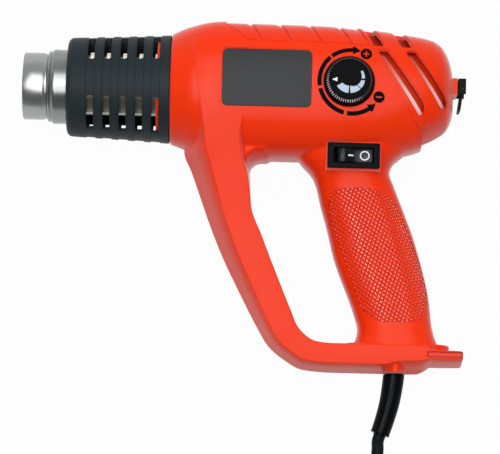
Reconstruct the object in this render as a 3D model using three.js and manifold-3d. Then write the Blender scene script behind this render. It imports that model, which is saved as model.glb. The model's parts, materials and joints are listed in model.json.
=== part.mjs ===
// A hot air tool lying on its right side, with its cord coiled on the same surface. Sizes are in millimetres.
// In the tool's own axes u runs back along the barrel, w runs up from the grip, and v runs to the left side.
import * as THREE from "three";
import { mergeVertices } from "three/addons/utils/BufferGeometryUtils.js";
import Module from "manifold-3d";

const wasm = await Module();
wasm.setup();

// Gaps and walls
const FIT = 0.3;
const WALL = 2.5;
const OVERRUN = 1;

// Sides of round pieces
const BARREL_SIDES = 28;
const ROUND_SIDES = 18;
const SMALL_SIDES = 8;
const BODY_SIDES = 20;
const GRIP_SIDES = 16;

// Nozzle and barrel
const MOUTH_U = -131.7;
const MOUTH_RADIUS = 19.5;
const BEAD_U = -117;
const BEAD_LENGTH = 4;
const TUBE_RADIUS = 21.6;
const TUBE_WALL = 0.9;
const FLARE_RADIUS = 24.4;
const FLARE_LENGTH = 1.2;
const HOUSING_FRONT_U = -46;
const SHROUD_LENGTH = 59.8;
const SHROUD_FRONT_RADIUS = 28.8;
const SHROUD_REAR_RADIUS = 31.6;
const SHROUD_WALL = 2.6;
const SHROUD_LIP_RADIUS = 3.4;
const SLOT_COLUMNS = 5;
const SLOT_PITCH = 9.4;
const SLOT_WIDTH = 4;
const SLOT_FROM_REAR = 8.2;
const SLOT_ANGLES = [22, 62];
const SLOT_STEPS = 2;
const SPIGOT_LENGTH = 8;
const SPIGOT_WALL = 2.2;

// Heater
const SLEEVE_WALL = 1;
const SLEEVE_LENGTH = 62;
const BASE_THICKNESS = 4;
const BASE_HOLE_RADIUS = 3.4;
const BASE_HOLE_CIRCLE = 12;
const BASE_HOLES = 6;
const CROSS_RADIUS = 15;
const CROSS_PLATE = 1.2;
const CROSS_LENGTH = 56;
const WINDING_WIRE = 1.6;
const WINDING_TURNS = 10;
const WINDING_PITCH = 4.8;
const CUTOUT_SIZE = [4, 6, 10];

// Fan and motor
const DUCT_RADIUS = 31;
const DUCT_WALL = 1.5;
const DUCT_CONE_END_U = -8;
const DUCT_END_U = 14;
const DUCT_SPOKES = 4;
const DUCT_SPOKE_WIDTH = 3;
const IMPELLER_U = -5;
const IMPELLER_LENGTH = 12;
const IMPELLER_HUB_RADIUS = 7;
const IMPELLER_TIP_GAP = 1;
const IMPELLER_BLADES = 7;
const BLADE_THICKNESS = 1.4;
const BLADE_PITCH = 42;
const MOTOR_U = 12.5;
const MOTOR_LENGTH = 36;
const MOTOR_RADIUS = 14;
const MOTOR_CAN_WALL = 0.9;
const MOTOR_CAP_LENGTH = 3.4;
const MAGNET_LENGTH = 26;
const MAGNET_WALL = 2.6;
const CORE_LENGTH = 20;
const COMMUTATOR_RADIUS = 4;
const COMMUTATOR_LENGTH = 6;
const SHAFT_RADIUS = 1.15;
const RUNNING_GAP = 0.4;

// Temperature dial and its board
const DIAL_U = 56.6;
const DIAL_W = 1;
const DIAL_RADIUS = 14.3;
const DIAL_SEAT_V = 35;
const DIAL_HEIGHT = 8.2;
const DIAL_SKIRT = 1.6;
const DIAL_KNURL_RADIUS = 12.7;
const DIAL_FACE_RADIUS = 10.6;
const SPINDLE_RADIUS = 3;
const BOARD_V = 17.8;
const BOARD_THICKNESS = 1.6;
const BOARD_BOX = [34, 90, -22, 21];
const BOARD_POSTS = [[38.5, 15.5], [38.5, -17], [84, -17], [66, 16.5]];
const HEATSINK_BOX = [60, 79, -19, -5];
const HEATSINK_HEIGHT = 13;
const HEATSINK_WALL = 2;
const CAPACITOR_BOX = [62, 80, 4, 14];
const CAPACITOR_HEIGHT = 12;
const RECTIFIER_BOX = [82, 88, -2, 14];
const RECTIFIER_HEIGHT = 10;
const POT_RADIUS = 8.5;
const POT_HEIGHT = 6;
const POT_BUSH_RADIUS = 4.8;
const POT_BUSH_LENGTH = 6;
const POST_RADIUS = 2.8;
const SMALL_SCREW_RADIUS = 1.2;
const SMALL_HEAD_RADIUS = 2.4;
const SMALL_HEAD_HEIGHT = 1.6;

// Rocker switch
const SWITCH_U = 60.4;
const SWITCH_W = -40.2;
const PAD_V = 24.6;
const PAD_SIZE = [32.6, 16.6];
const BEZEL_SIZE = [30, 14];
const BEZEL_HEIGHT = 2;
const SWITCH_BODY_SIZE = [26.6, 11.6];
const SWITCH_DEPTH = 20;
const ROCKER_SIZE = [19.8, 7.8];
const ROCKER_HINGE_DEPTH = 2.4;
const ROCKER_TILT = 11;
const ROCKER_VALLEY = 2.8;
const ROCKER_RIDGE = 5.4;
const ROCKER_TAPER = 0.6;
const ROCKER_ROOT = 5.5;
const ROCKER_DEPTH = 4.5;
const PIVOT_RADIUS = 1.1;
const TERMINAL_SIZE = [0.8, 4.8, 7];
const TERMINAL_SPACING = 8;

// Cord entry
const CORD_DIAMETER = 7;
const ENTRY_U = 87.2;
const FOOT_W = -163.1;
const RELIEF_NECK_RADIUS = 5.6;
const RELIEF_FLANGE_RADIUS = 8;
const RELIEF_FLANGE = 2.4;
const ENTRY_SEAT = 2;
const RELIEF_SIDES = 12;
const CLAMP_W = -146;
const CLAMP_SIZE = [23, 6, 3.6];
const CLAMP_SCREW_SPACING = 15.4;
const SHEATH_TOP_W = -136;
const LEAD_RADIUS = 1.1;
const SWITCH_CLEARANCE = 0.8;

// Strain relief outside the foot: lean towards the front, drop below the foot and radius
const RELIEF_SECTIONS = [
  [0, 0.6, 6.2],
  [0.2, 7, 6],
  [1.4, 16, 5.7],
  [3.8, 25.5, 5.3],
  [6.2, 33.2, 5],
  [6.4, 34, 5.5],
  [6.7, 35, 5.5],
];

// Hang loop
const BRACKET_SIZE = [4.6, 9, 18];
const BRACKET_GAP = 0.4;
const BRACKET_W = 0.5;
const BOSS_STAND = 2.6;
const LOOP_WIDTH = 14;
const LOOP_THICKNESS = 1.5;
const LOOP_LENGTH = 12.5;
const LOOP_PIN_RADIUS = 0.9;
const LOOP_BARREL_RADIUS = 1.8;
const LOOP_EYE = [8.6, 6];

// Label recess
const LABEL_U = 9.5;
const LABEL_W = 2.1;
const LABEL_SIZE = [51, 33];
const LABEL_CORNER = 3;
const LABEL_THICKNESS = 1.1;
const LABEL_RECESS = 1.6;

// Housing screws, at u and w, and the posts that take them
const HOUSING_SCREWS = [[-11, -62], [21, -149], [74, -66], [103, -154], [90, -27], [50, 32]];
const SCREW_RADIUS = 1.7;
const SCREW_HEAD_RADIUS = 3.4;
const SCREW_HEAD_HEIGHT = 2.4;
const SCREW_SINK = 1.6;
const SCREW_REACH = 9;
const BOSS_RADIUS = 4.2;

// Body stations from front to rear: u, top w, bottom w, half-width, roundness
const BODY_STATIONS = [
  [HOUSING_FRONT_U, 32, -32, 32, 2],
  [-40, 34.3, -34, 34.2, 2.1],
  [-32.5, 37, -36.6, 36.7, 2.3],
  [-25, 38.9, -38.5, 36.8, 2.5],
  [0, 39.5, -39.9, 36.8, 2.7],
  [45, 39, -40, 36.4, 2.7],
  [60, 37.8, -39.5, 36, 2.6],
  [75, 36.2, -37.5, 35.2, 2.6],
  [90, 34.5, -33.6, 34, 2.5],
  [100, 33.2, -29.4, 32.4, 2.4],
  [106, 31.7, -26.6, 30.6, 2.4],
  [110.3, 28.8, -24, 27.8, 2.4],
  [116.2, 17.6, -17.6, 18, 2.4],
  [117.8, 10.4, -13, 11, 2.4],
];

// Grip stations from top to bottom: front u, front w, rear u, rear w, half-width, roundness
const GRIP_STATIONS = [
  [26.5, -28, 96, -26, 26, 2.6],
  [28.5, -39, 90, -36, 24.2, 2.6],
  [32, -43.8, 84.4, -40.8, 22.4, 2.6],
  [36.4, -48.4, 82, -46.8, 20.6, 2.6],
  [39.5, -54.6, 84.3, -53, 19.2, 2.6],
  [42.6, -67, 87.2, -60.2, 18.4, 2.6],
  [46, -78.4, 91, -69.6, 18, 2.6],
  [50.8, -97, 97.6, -87, 18, 2.6],
  [63.4, -130.4, 106.5, -121.5, 18.3, 2.6],
  [65.4, -138.5, 107.9, -134, 18.9, 2.7],
  [64.2, -144.5, 109.9, -142, 19.6, 2.8],
  [62, -149, 112, -148, 19.8, 3],
  [62, -155, 112, -155, 19.4, 3],
];

// Edges of the guard's sections
const GUARD_SOFT = 1.2;
const GUARD_ROUND = 3.4;

// Guard stations down the strut and along the foot:
// outer u, w, inner u, w, half-width, outer slope, inner slope
const GUARD_STATIONS = [
  [-33.2, -1, 2, 6, 35.6, 3.6, 3],
  [-34.6, -20, 1, -13, 34.9, 7, 4],
  [-37.4, -36.5, -0.6, -29.5, 32.8, 12.2, 4.5],
  [-32.8, -48.3, 0.6, -42, 30.2, 10.6, 4.5],
  [-20.9, -80.2, 2.6, -71, 25.9, 8.6, 3.4],
  [-13, -98.7, 9, -87.5, 24.3, 7.9, 3],
  [-3.2, -118.1, 17.2, -107.6, 22.9, 7, 2.6],
  [8.2, -139.3, 27, -130, 21.5, 5.9, 2.2],
  [14, -148.5, 30.6, -137.4, 20.9, 5.2, 2],
  [22.5, -155.8, 35, -142.2, 20.4, 4.6, 1.8],
  [34.7, -162, 41, -146, 20.1, 4.1, 1.6],
  [50.5, FOOT_W, 50.5, -147.2, 20, 3.8, 1.4],
  [76, FOOT_W, 76, -147, 20, 3.8, 1.4],
  [101, FOOT_W + 0.6, 104, -147.2, 20, 3.6, 1.4],
];

// Foot tab behind the grip, in the same columns
const TAB_STATIONS = [
  [100, -159.5, 100, -150.4, 19.9, 2, 0.8],
  [108, -159.5, 108, -150.8, 19.9, 2, 0.8],
  [121.5, -159.3, 121.5, -151.2, 19.9, 2, 0.8],
  [125, -158.6, 125, -151.4, 18.6, 1.6, 0.8],
  [126.8, -157.4, 126.8, -152.2, 16.4, 1, 0.6],
];

// Seam between the housing halves and the rear cover, at u and w, and the vents of the cover
const COVER_SEAM = [[60.8, 44], [61.8, 37.4], [95.6, -22.6], [99, -40]];
const COVER_VENTS = [
  [[63, 40], [67.6, 40], [75.4, 23.4], [69.6, 23.4]],
  [[80, 40], [84.4, 40], [91.2, 23.4], [85, 23.4]],
  [[71.8, 19.6], [77.6, 19.6], [98.4, -9.4], [96.3, -17]],
  [[87.8, 19.6], [93.7, 19.6], [111.2, -4.4], [109, -12]],
];
const VENT_V = 8;

// Cord route on the surface, from the barrel's axis: the free run, the coil and the tail
const COIL_CENTRE = [30, -274];
const COIL_OUTER_RADIUS = 54;
const COIL_PITCH = 7.6;
const COIL_TURNS = 6.5;
const COIL_LIFT = 1.4;
const LOOP_STEPS = 24;
const COIL_SIDES = 6;
const CORD_SIDES = 8;
const RUN_POINTS = [
  [79.3, -205.5, 16.6],
  [78.3, -215, 15.1],
  [78, -226, 12.4],
  [78.8, -237, 9.4],
  [80.6, -248, 6.8],
  [82.8, -258, 5.3],
];
const TAIL_POINTS = [
  [-24.3, -258, 12],
  [-26.5, -247, 10.2],
  [-33, -236.5, 7.6],
  [-43.5, -229.6, 5.4],
  [-56, -228, 4.3],
  [-67.5, -232.5, 4.1],
  [-75.5, -242, 4.8],
  [-78.6, -253, 7],
  [-79, -263, 10.2],
];
const PLUG_START = [-79, -276, 12.4];
const PLUG_LENGTH = 40;
const PLUG_WIDTH = 35;
const PLUG_HEIGHT = 24;
const PLUG_CHAMFER = 1.5;
const PLUG_SECTIONS = [
  [0, 5.2, 5.2, 2],
  [8, 5.8, 5.8, 2],
  [12, 11, 8.6, 2.4],
  [18, PLUG_WIDTH / 2, PLUG_HEIGHT / 2, 3],
  [PLUG_LENGTH - PLUG_CHAMFER, PLUG_WIDTH / 2, PLUG_HEIGHT / 2, 3],
  [PLUG_LENGTH, PLUG_WIDTH / 2 - PLUG_CHAMFER, PLUG_HEIGHT / 2 - PLUG_CHAMFER, 3],
];
const PIN_RADIUS = 2.4;
const PIN_LENGTH = 19;
const PIN_SPACING = 19;
const PIN_SINK = 5;
const TIE_THICKNESS = 0.8;
const TIE_WIDTH = 9;
const TIE_ANGLE = -75;

const COLOURS = {
  shell: ["#f13e20", 0.42, 0],
  dark: ["#2b3338", 0.5, 0],
  metal: ["#a9a9a6", 0.3, 1],
  brass: ["#b79a56", 0.35, 1],
  ceramic: ["#d8d2c4", 0.8, 0],
  mica: ["#b8ab8c", 0.6, 0],
  board: ["#2f6a3c", 0.6, 0],
  label: ["#252d30", 0.6, 0],
  cord: ["#262a2c", 0.55, 0],
  blue: ["#3d5f9e", 0.5, 0],
  brown: ["#6d4228", 0.5, 0],
};

const material = ([color, roughness, metalness]) =>
  new THREE.MeshStandardMaterial({ color, roughness, metalness, flatShading: true });

// A closed geometry as a solid that can be joined and cut, and back again
function solid(geometry) {
  const bare = geometry.clone();
  for (const name of Object.keys(bare.attributes)) if (name !== "position") bare.deleteAttribute(name);
  const merged = mergeVertices(bare, 1e-4);
  return new wasm.Manifold(
    new wasm.Mesh({
      numProp: 3,
      vertProperties: new Float32Array(merged.attributes.position.array),
      triVerts: new Uint32Array(merged.index.array),
    }),
  );
}

function geometryOf(made) {
  const mesh = made.getMesh();
  return new THREE.BufferGeometry()
    .setAttribute("position", new THREE.BufferAttribute(mesh.vertProperties, 3))
    .setIndex(new THREE.BufferAttribute(mesh.triVerts, 1));
}

const join = (parts) => parts.reduce((all, part) => all.add(part));
const cut = (body, tools) => tools.reduce((all, tool) => all.subtract(tool), body);

// A closed skin over rings of points that all have the same count
function loft(rings) {
  const sides = rings[0].length;
  const centre = (ring) =>
    ring.reduce((sum, p) => sum.add(p), new THREE.Vector3()).divideScalar(sides);
  const points = [...rings.flat(), centre(rings[0]), centre(rings.at(-1))];
  const first = points.length - 2;
  const last = points.length - 1;
  const index = [];
  for (let r = 0; r + 1 < rings.length; r++) {
    for (let s = 0; s < sides; s++) {
      const a = r * sides + s;
      const b = r * sides + ((s + 1) % sides);
      index.push(a, b, b + sides, a, b + sides, a + sides);
    }
  }
  const end = (rings.length - 1) * sides;
  for (let s = 0; s < sides; s++) {
    const next = (s + 1) % sides;
    index.push(first, next, s, last, end + s, end + next);
  }
  const geometry = new THREE.BufferGeometry().setFromPoints(points).setIndex(index);
  return solid(geometry).volume() < 0 ? flipped(geometry) : geometry;
}

function flipped(geometry) {
  const index = geometry.index.array;
  for (let i = 0; i < index.length; i += 3) [index[i], index[i + 1]] = [index[i + 1], index[i]];
  return geometry;
}

// An outline at u and w, run from one v to another
function prism(outline, from, to) {
  const shape = new THREE.Shape(outline.map(([u, w]) => new THREE.Vector2(u, w)));
  return solid(
    new THREE.ExtrudeGeometry(shape, { depth: to - from, bevelEnabled: false, curveSegments: 6 })
      .translate(0, 0, from),
  );
}

function box(uFrom, uTo, wFrom, wTo, vFrom, vTo) {
  return solid(
    new THREE.BoxGeometry(uTo - uFrom, wTo - wFrom, vTo - vFrom)
      .translate((uFrom + uTo) / 2, (wFrom + wTo) / 2, (vFrom + vTo) / 2),
  );
}

// A closed profile of radius and distance, turned about the barrel's axis or about an axis along v or w
function turned(profile, segments) {
  const closed = profile[0][0] === 0 ? profile : [...profile, profile[0]];
  const geometry = new THREE.LatheGeometry(closed.map(([r, d]) => new THREE.Vector2(r, d)), segments);
  return solid(geometry).volume() < 0 ? flipped(geometry) : geometry;
}
const alongU = (profile, segments = BARREL_SIDES, w = 0, v = 0) =>
  solid(turned(profile, segments).rotateZ(-Math.PI / 2).translate(0, w, v));
const alongV = (profile, u, w, segments = SMALL_SIDES) =>
  solid(turned(profile, segments).rotateX(Math.PI / 2).translate(u, w, 0));
const alongW = (profile, u, v, segments = ROUND_SIDES) => solid(turned(profile, segments).translate(u, 0, v));
const rod = (radius, from, to) => [[0, from], [radius, from], [radius, to], [0, to]];
const ring = (inner, outer, from, to) => [[inner, from], [outer, from], [outer, to], [inner, to]];

function roundedOutline(u, w, width, height, corner, steps = 3) {
  const outline = [];
  const corners = [[1, 1, 0], [-1, 1, 90], [-1, -1, 180], [1, -1, 270]];
  for (const [su, sw, start] of corners) {
    for (let i = 0; i <= steps; i++) {
      const angle = THREE.MathUtils.degToRad(start + (90 * i) / steps);
      outline.push([
        u + su * (width / 2 - corner) + corner * Math.cos(angle),
        w + sw * (height / 2 - corner) + corner * Math.sin(angle),
      ]);
    }
  }
  return outline;
}

// A tube along a smooth curve through points
function tube(points, radius, sides, step) {
  const path = new THREE.CatmullRomCurve3(points, false, "centripetal");
  const section = new THREE.Shape(
    Array.from({ length: sides }, (_, i) => {
      const angle = (2 * Math.PI * i) / sides;
      return new THREE.Vector2(radius * Math.cos(angle), radius * Math.sin(angle));
    }),
  );
  const steps = Math.max(3, Math.round(path.getLength() / step));
  return new THREE.ExtrudeGeometry(section, { steps, extrudePath: path, bevelEnabled: false });
}

// A tube of flat rings along points that a formula made, for coils
function woundTube(points, radius, sides) {
  const rings = points.map((point, i) => {
    const before = points[Math.max(i - 1, 0)];
    const after = points[Math.min(i + 1, points.length - 1)];
    const ahead = after.clone().sub(before).normalize();
    const up = Math.abs(ahead.z) > 0.9 ? new THREE.Vector3(1, 0, 0) : new THREE.Vector3(0, 0, 1);
    const side = new THREE.Vector3().crossVectors(ahead, up).normalize();
    const over = new THREE.Vector3().crossVectors(side, ahead);
    return Array.from({ length: sides }, (_, s) => {
      const angle = (2 * Math.PI * (s + 0.5)) / sides;
      return point.clone()
        .addScaledVector(side, radius * Math.cos(angle))
        .addScaledVector(over, radius * Math.sin(angle));
    });
  });
  return loft(rings);
}

// The least distance between two turns of a wound tube, from surface to surface
function leastGap(points, radius, skip) {
  let least = Infinity;
  points.forEach((p, i) => {
    for (let j = i + skip; j < points.length; j++) least = Math.min(least, p.distanceTo(points[j]));
  });
  return least - 2 * radius;
}

// Housing forms, each drawn in from its outer skin by an inset
const superellipse = (angle, power) => [
  Math.sign(Math.cos(angle)) * Math.abs(Math.cos(angle)) ** (2 / power),
  Math.sign(Math.sin(angle)) * Math.abs(Math.sin(angle)) ** (2 / power),
];

function bodyForm(inset, frontInset = inset) {
  return solid(loft(BODY_STATIONS.map(([u, top, bottom, half, power], row) => {
    const place = row === 0 ? u + frontInset : row === BODY_STATIONS.length - 1 ? u - inset : u;
    return Array.from({ length: BODY_SIDES }, (_, i) => {
      const [across, up] = superellipse((2 * Math.PI * (i + 0.5)) / BODY_SIDES, power);
      const height = up > 0 ? top - inset : -bottom - inset;
      return new THREE.Vector3(place, up * height, across * (half - inset));
    });
  })));
}

function gripForm(inset) {
  return solid(loft(GRIP_STATIONS.map(([frontU, frontW, rearU, rearW, half, power]) => {
    const front = new THREE.Vector2(frontU, frontW);
    const rear = new THREE.Vector2(rearU, rearW);
    const middle = front.clone().add(rear).multiplyScalar(0.5);
    const reach = rear.clone().sub(front).multiplyScalar(0.5);
    reach.setLength(reach.length() - inset);
    return Array.from({ length: GRIP_SIDES }, (_, i) => {
      const [along, across] = superellipse((2 * Math.PI * (i + 0.5)) / GRIP_SIDES, power);
      return new THREE.Vector3(
        middle.x + along * reach.x,
        middle.y + along * reach.y,
        across * (half - inset),
      );
    });
  })));
}

// Half a guard section: the slope up from the parting line, the near face, and the slope to the inner edge
function guardForm(stations, inset, endInset = 0) {
  return solid(loft(stations.map(([outerU, outerW, innerU, innerW, half, outSlope, inSlope], row) => {
    const outer = new THREE.Vector2(outerU, outerW);
    const across = new THREE.Vector2(innerU, innerW).sub(outer);
    const width = across.length() - 2 * inset;
    across.normalize();
    const height = half - inset;
    const edge = [
      [0, 0],
      [outSlope * (1 - GUARD_SOFT / height), height - GUARD_SOFT],
      [outSlope + GUARD_SOFT, height],
      [width - inSlope - GUARD_ROUND, height],
      [width - inSlope - 0.3 * GUARD_ROUND, height - 0.3 * GUARD_ROUND],
      [width - inSlope * 0.6, height - GUARD_ROUND],
      [width, 0],
    ];
    const section = [...edge, ...edge.slice(1, -1).reverse().map(([s, v]) => [s, -v])];
    const shift = row === stations.length - 1 ? -endInset : 0;
    return section.map(([s, v]) => new THREE.Vector3(
      outer.x + across.x * (s + inset) + shift,
      outer.y + across.y * (s + inset),
      v,
    ));
  })));
}

const outerSkin = join([
  bodyForm(0),
  gripForm(0),
  guardForm(GUARD_STATIONS, 0),
  guardForm(TAB_STATIONS, 0),
]);
const innerSkin = join([
  bodyForm(WALL),
  gripForm(WALL),
  guardForm(GUARD_STATIONS, WALL),
]);

// Cord entry, screw posts, ribs and seats of the housing halves
const shroudSlope = (SHROUD_REAR_RADIUS - SHROUD_FRONT_RADIUS) / (SHROUD_LENGTH - SHROUD_LIP_RADIUS);
const spigotRadius = SHROUD_REAR_RADIUS - SHROUD_WALL - FIT - shroudSlope * SPIGOT_LENGTH;
const tubeHole = alongU(
  rod(TUBE_RADIUS + FIT, HOUSING_FRONT_U - 2 * SPIGOT_LENGTH, HOUSING_FRONT_U + 2 * WALL),
);
const spigot = alongU(
  ring(spigotRadius - SPIGOT_WALL, spigotRadius, HOUSING_FRONT_U - SPIGOT_LENGTH, HOUSING_FRONT_U + OVERRUN),
);
const FAR = 60;
const ductRibU = DUCT_CONE_END_U + 10;
const ductRib = cut(
  box(ductRibU, ductRibU + WALL, -FAR, FAR, -FAR, FAR).intersect(bodyForm(WALL - OVERRUN / 2)),
  [
    alongU(rod(DUCT_RADIUS + FIT, ductRibU - OVERRUN, ductRibU + WALL + OVERRUN)),
    box(ductRibU - OVERRUN, ductRibU + WALL + OVERRUN, -FAR, -DUCT_RADIUS + 2 * LEAD_RADIUS, -7, 7),
  ],
);
const dialSeat = alongV(rod(DIAL_RADIUS + 2 * FIT, DIAL_SEAT_V, FAR), DIAL_U, DIAL_W, BARREL_SIDES);
const dialFloor = alongV(
  ring(SPINDLE_RADIUS + FIT, DIAL_RADIUS + WALL, DIAL_SEAT_V - WALL, DIAL_SEAT_V),
  DIAL_U, DIAL_W, BARREL_SIDES,
);
const spindleHole = alongV(rod(SPINDLE_RADIUS + FIT, BOARD_V, FAR), DIAL_U, DIAL_W, ROUND_SIDES);
const labelPrism = (grow, from) =>
  prism(
    roundedOutline(LABEL_U, LABEL_W, LABEL_SIZE[0] + 2 * grow, LABEL_SIZE[1] + 2 * grow, LABEL_CORNER + grow),
    from, FAR,
  );
const rimFloor = (grow) => labelPrism(grow, MOTOR_RADIUS).intersect(bodyForm(WALL - OVERRUN / 2))
  .subtract(bodyForm(WALL + LABEL_RECESS));
const labelCut = labelPrism(FIT, MOTOR_RADIUS).subtract(bodyForm(LABEL_RECESS));

const switchBox = (grow, from, to) => box(
  SWITCH_U - SWITCH_BODY_SIZE[0] / 2 - grow, SWITCH_U + SWITCH_BODY_SIZE[0] / 2 + grow,
  SWITCH_W - SWITCH_BODY_SIZE[1] / 2 - grow, SWITCH_W + SWITCH_BODY_SIZE[1] / 2 + grow, from, to,
);
const padOutline = roundedOutline(SWITCH_U, SWITCH_W, PAD_SIZE[0], PAD_SIZE[1], 2);
const pad = prism(padOutline, PAD_V - 2 * WALL, PAD_V);
const padClear = prism(padOutline, PAD_V, FAR);

const seatW = FOOT_W + WALL + ENTRY_SEAT;
const reliefTop = seatW + FIT + RELIEF_FLANGE;
const entryHole = alongW(rod(RELIEF_NECK_RADIUS + FIT, FOOT_W - 4, seatW + OVERRUN), ENTRY_U, 0);
const seatReach = RELIEF_FLANGE_RADIUS + WALL;
const entrySeat = box(ENTRY_U - seatReach, ENTRY_U + seatReach, FOOT_W, seatW, -seatReach, seatReach)
  .intersect(outerSkin);

const coverPrism = prism([...COVER_SEAM, [150, -40], [150, 44]], -FAR, FAR);
const coverSide = prism(
  [...COVER_SEAM.map(([u, w]) => [u - FIT, w]), [150, -40], [150, 44]], -FAR, FAR,
);

const inSkin = (post) => post.intersect(outerSkin);
const screwHeadV = (u, w) => {
  const probe = alongV(rod(0.5, -FAR, 0), u, w, 6).intersect(outerSkin);
  return probe.boundingBox().min[2] + SCREW_SINK;
};
const screwPlaces = HOUSING_SCREWS.map(([u, w]) => ({ u, w, head: screwHeadV(u, w) }));
const rightPosts = screwPlaces.map(({ u, w }) =>
  inSkin(alongV(rod(BOSS_RADIUS, -FAR, -FIT / 2), u, w)));
const rightScrewHoles = screwPlaces.flatMap(({ u, w, head }) => [
  alongV(rod(SCREW_RADIUS + FIT, -FAR, FAR), u, w),
  alongV(rod(SCREW_HEAD_RADIUS + FIT, -FAR, head + SCREW_HEAD_HEIGHT + FIT), u, w, 12),
]);
const leftPosts = screwPlaces.map(({ u, w }) => inSkin(alongV(rod(BOSS_RADIUS, FIT / 2, FAR), u, w)));
const leftScrewHoles = screwPlaces.map(({ u, w }) =>
  alongV(rod(SCREW_RADIUS + FIT, -1, SCREW_REACH + OVERRUN), u, w));

const boardTop = BOARD_V + BOARD_THICKNESS;
const boardPosts = BOARD_POSTS.map(([u, w]) =>
  inSkin(alongV(rod(POST_RADIUS, boardTop + FIT, FAR), u, w)));
const boardPostHoles = BOARD_POSTS.slice(1, 3).map(([u, w]) =>
  alongV(rod(SMALL_SCREW_RADIUS + FIT, BOARD_V, boardTop + 9), u, w));

const clampFace = CORD_DIAMETER / 2 + FIT;
const clampPlaces = [-1, 1].map((side) => ENTRY_U + (side * CLAMP_SCREW_SPACING) / 2);
const clampPosts = clampPlaces.map((u) => inSkin(alongV(rod(POST_RADIUS, -FAR, -FIT / 2), u, CLAMP_W)));
const clampPostHoles = clampPlaces.map((u) => alongV(rod(SMALL_SCREW_RADIUS + FIT, -14, FAR), u, CLAMP_W));
const cordCradle = box(
  ENTRY_U - CLAMP_SCREW_SPACING / 2, ENTRY_U + CLAMP_SCREW_SPACING / 2,
  CLAMP_W - CLAMP_SIZE[1] / 2, CLAMP_W + CLAMP_SIZE[1] / 2, -FAR, -CORD_DIAMETER / 2 - FIT,
).intersect(outerSkin);

const shell = cut(outerSkin, [innerSkin, tubeHole, entryHole]);
const halfSide = (side) => side > 0
  ? box(-FAR * 3, FAR * 3, -FAR * 4, FAR * 2, FIT / 2, FAR)
  : box(-FAR * 3, FAR * 3, -FAR * 4, FAR * 2, -FAR, -FIT / 2);
const commonParts = cut(
  join([shell.subtract(coverSide), spigot, ductRib.subtract(coverSide), entrySeat]),
  [tubeHole, entryHole],
);

const leftHousing = cut(
  join([
    commonParts.subtract(padClear).intersect(halfSide(1)),
    pad,
    dialFloor.intersect(outerSkin),
    rimFloor(WALL),
    ...leftPosts.map((post) => post.subtract(coverSide)),
    ...boardPosts,
  ]),
  [
    dialSeat, spindleHole, labelCut, switchBox(FIT, 0, FAR), ...leftScrewHoles, ...boardPostHoles,
  ],
);
const rightHousing = cut(
  join([
    commonParts.intersect(halfSide(-1)),
    ...rightPosts.map((post) => post.subtract(coverSide)),
    ...clampPosts,
    cordCradle,
  ]),
  [...rightScrewHoles, ...clampPostHoles],
);

// Rear cover with its vents and the boss of the hang bracket
const bossU = BODY_STATIONS.at(-1)[0] + BOSS_STAND;
const bracketU = bossU + BRACKET_GAP;
const ventCuts = COVER_VENTS.flatMap((outline) =>
  [prism(outline, VENT_V, FAR), prism(outline, -FAR, -VENT_V)]);
const bracketMiddle = BRACKET_W + BRACKET_SIZE[1] / 2;
const bracketScrewW = BRACKET_W + BRACKET_SIZE[1] - 2.1;
const coverBoss = box(
  bossU - 2 * WALL, bossU, bracketMiddle - BRACKET_SIZE[1] / 2 - 0.5, bracketMiddle + BRACKET_SIZE[1] / 2,
  -BRACKET_SIZE[2] / 2, BRACKET_SIZE[2] / 2,
);
const bracketScrewHole = (from, to) =>
  alongU(rod(SMALL_SCREW_RADIUS + FIT, from, to), SMALL_SIDES, bracketScrewW);
const coverShell = outerSkin.intersect(bodyForm(0)).subtract(bodyForm(WALL)).intersect(coverPrism);
const rearCover = cut(join([coverShell, coverBoss]), [
  ...ventCuts,
  bracketScrewHole(bossU - 20, bossU + OVERRUN),
]);

// Barrel
const shroudRear = HOUSING_FRONT_U - FIT;
const shroudFront = shroudRear - SHROUD_LENGTH;
const shroudProfile = [
  [TUBE_RADIUS + FIT, shroudFront],
  [SHROUD_FRONT_RADIUS - SHROUD_LIP_RADIUS, shroudFront],
  [SHROUD_FRONT_RADIUS - 0.3 * SHROUD_LIP_RADIUS, shroudFront + 0.3 * SHROUD_LIP_RADIUS],
  [SHROUD_FRONT_RADIUS, shroudFront + SHROUD_LIP_RADIUS],
  [SHROUD_REAR_RADIUS, shroudRear],
  [SHROUD_REAR_RADIUS - SHROUD_WALL, shroudRear],
  [SHROUD_FRONT_RADIUS - SHROUD_WALL, shroudFront + SHROUD_WALL + OVERRUN],
  [TUBE_RADIUS + FIT, shroudFront + SHROUD_WALL],
];
function slotSector(u, from, to) {
  const arc = (radius) => Array.from({ length: SLOT_STEPS + 1 }, (_, i) => {
    const angle = THREE.MathUtils.degToRad(from + ((to - from) * i) / SLOT_STEPS);
    return new THREE.Vector2(radius * Math.cos(angle), radius * Math.sin(angle));
  });
  const outer = arc(SHROUD_REAR_RADIUS + SHROUD_WALL);
  const inner = arc(TUBE_RADIUS + FIT);
  const shape = new THREE.Shape([...outer, ...inner.reverse()]);
  const geometry = new THREE.ExtrudeGeometry(shape, { depth: SLOT_WIDTH, bevelEnabled: false });
  return solid(geometry.rotateY(-Math.PI / 2).translate(u + SLOT_WIDTH / 2, 0, 0));
}
const slotSectors = [];
for (let column = 0; column < SLOT_COLUMNS; column++) {
  const u = shroudRear - SLOT_FROM_REAR - column * SLOT_PITCH;
  const [low, high] = SLOT_ANGLES;
  for (const [from, to] of [[low, high], [180 - high, 180 - low], [180 + low, 180 + high], [-high, -low]]) {
    slotSectors.push(slotSector(u, from, to));
  }
}
const shroud = cut(alongU(shroudProfile), slotSectors);

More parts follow.
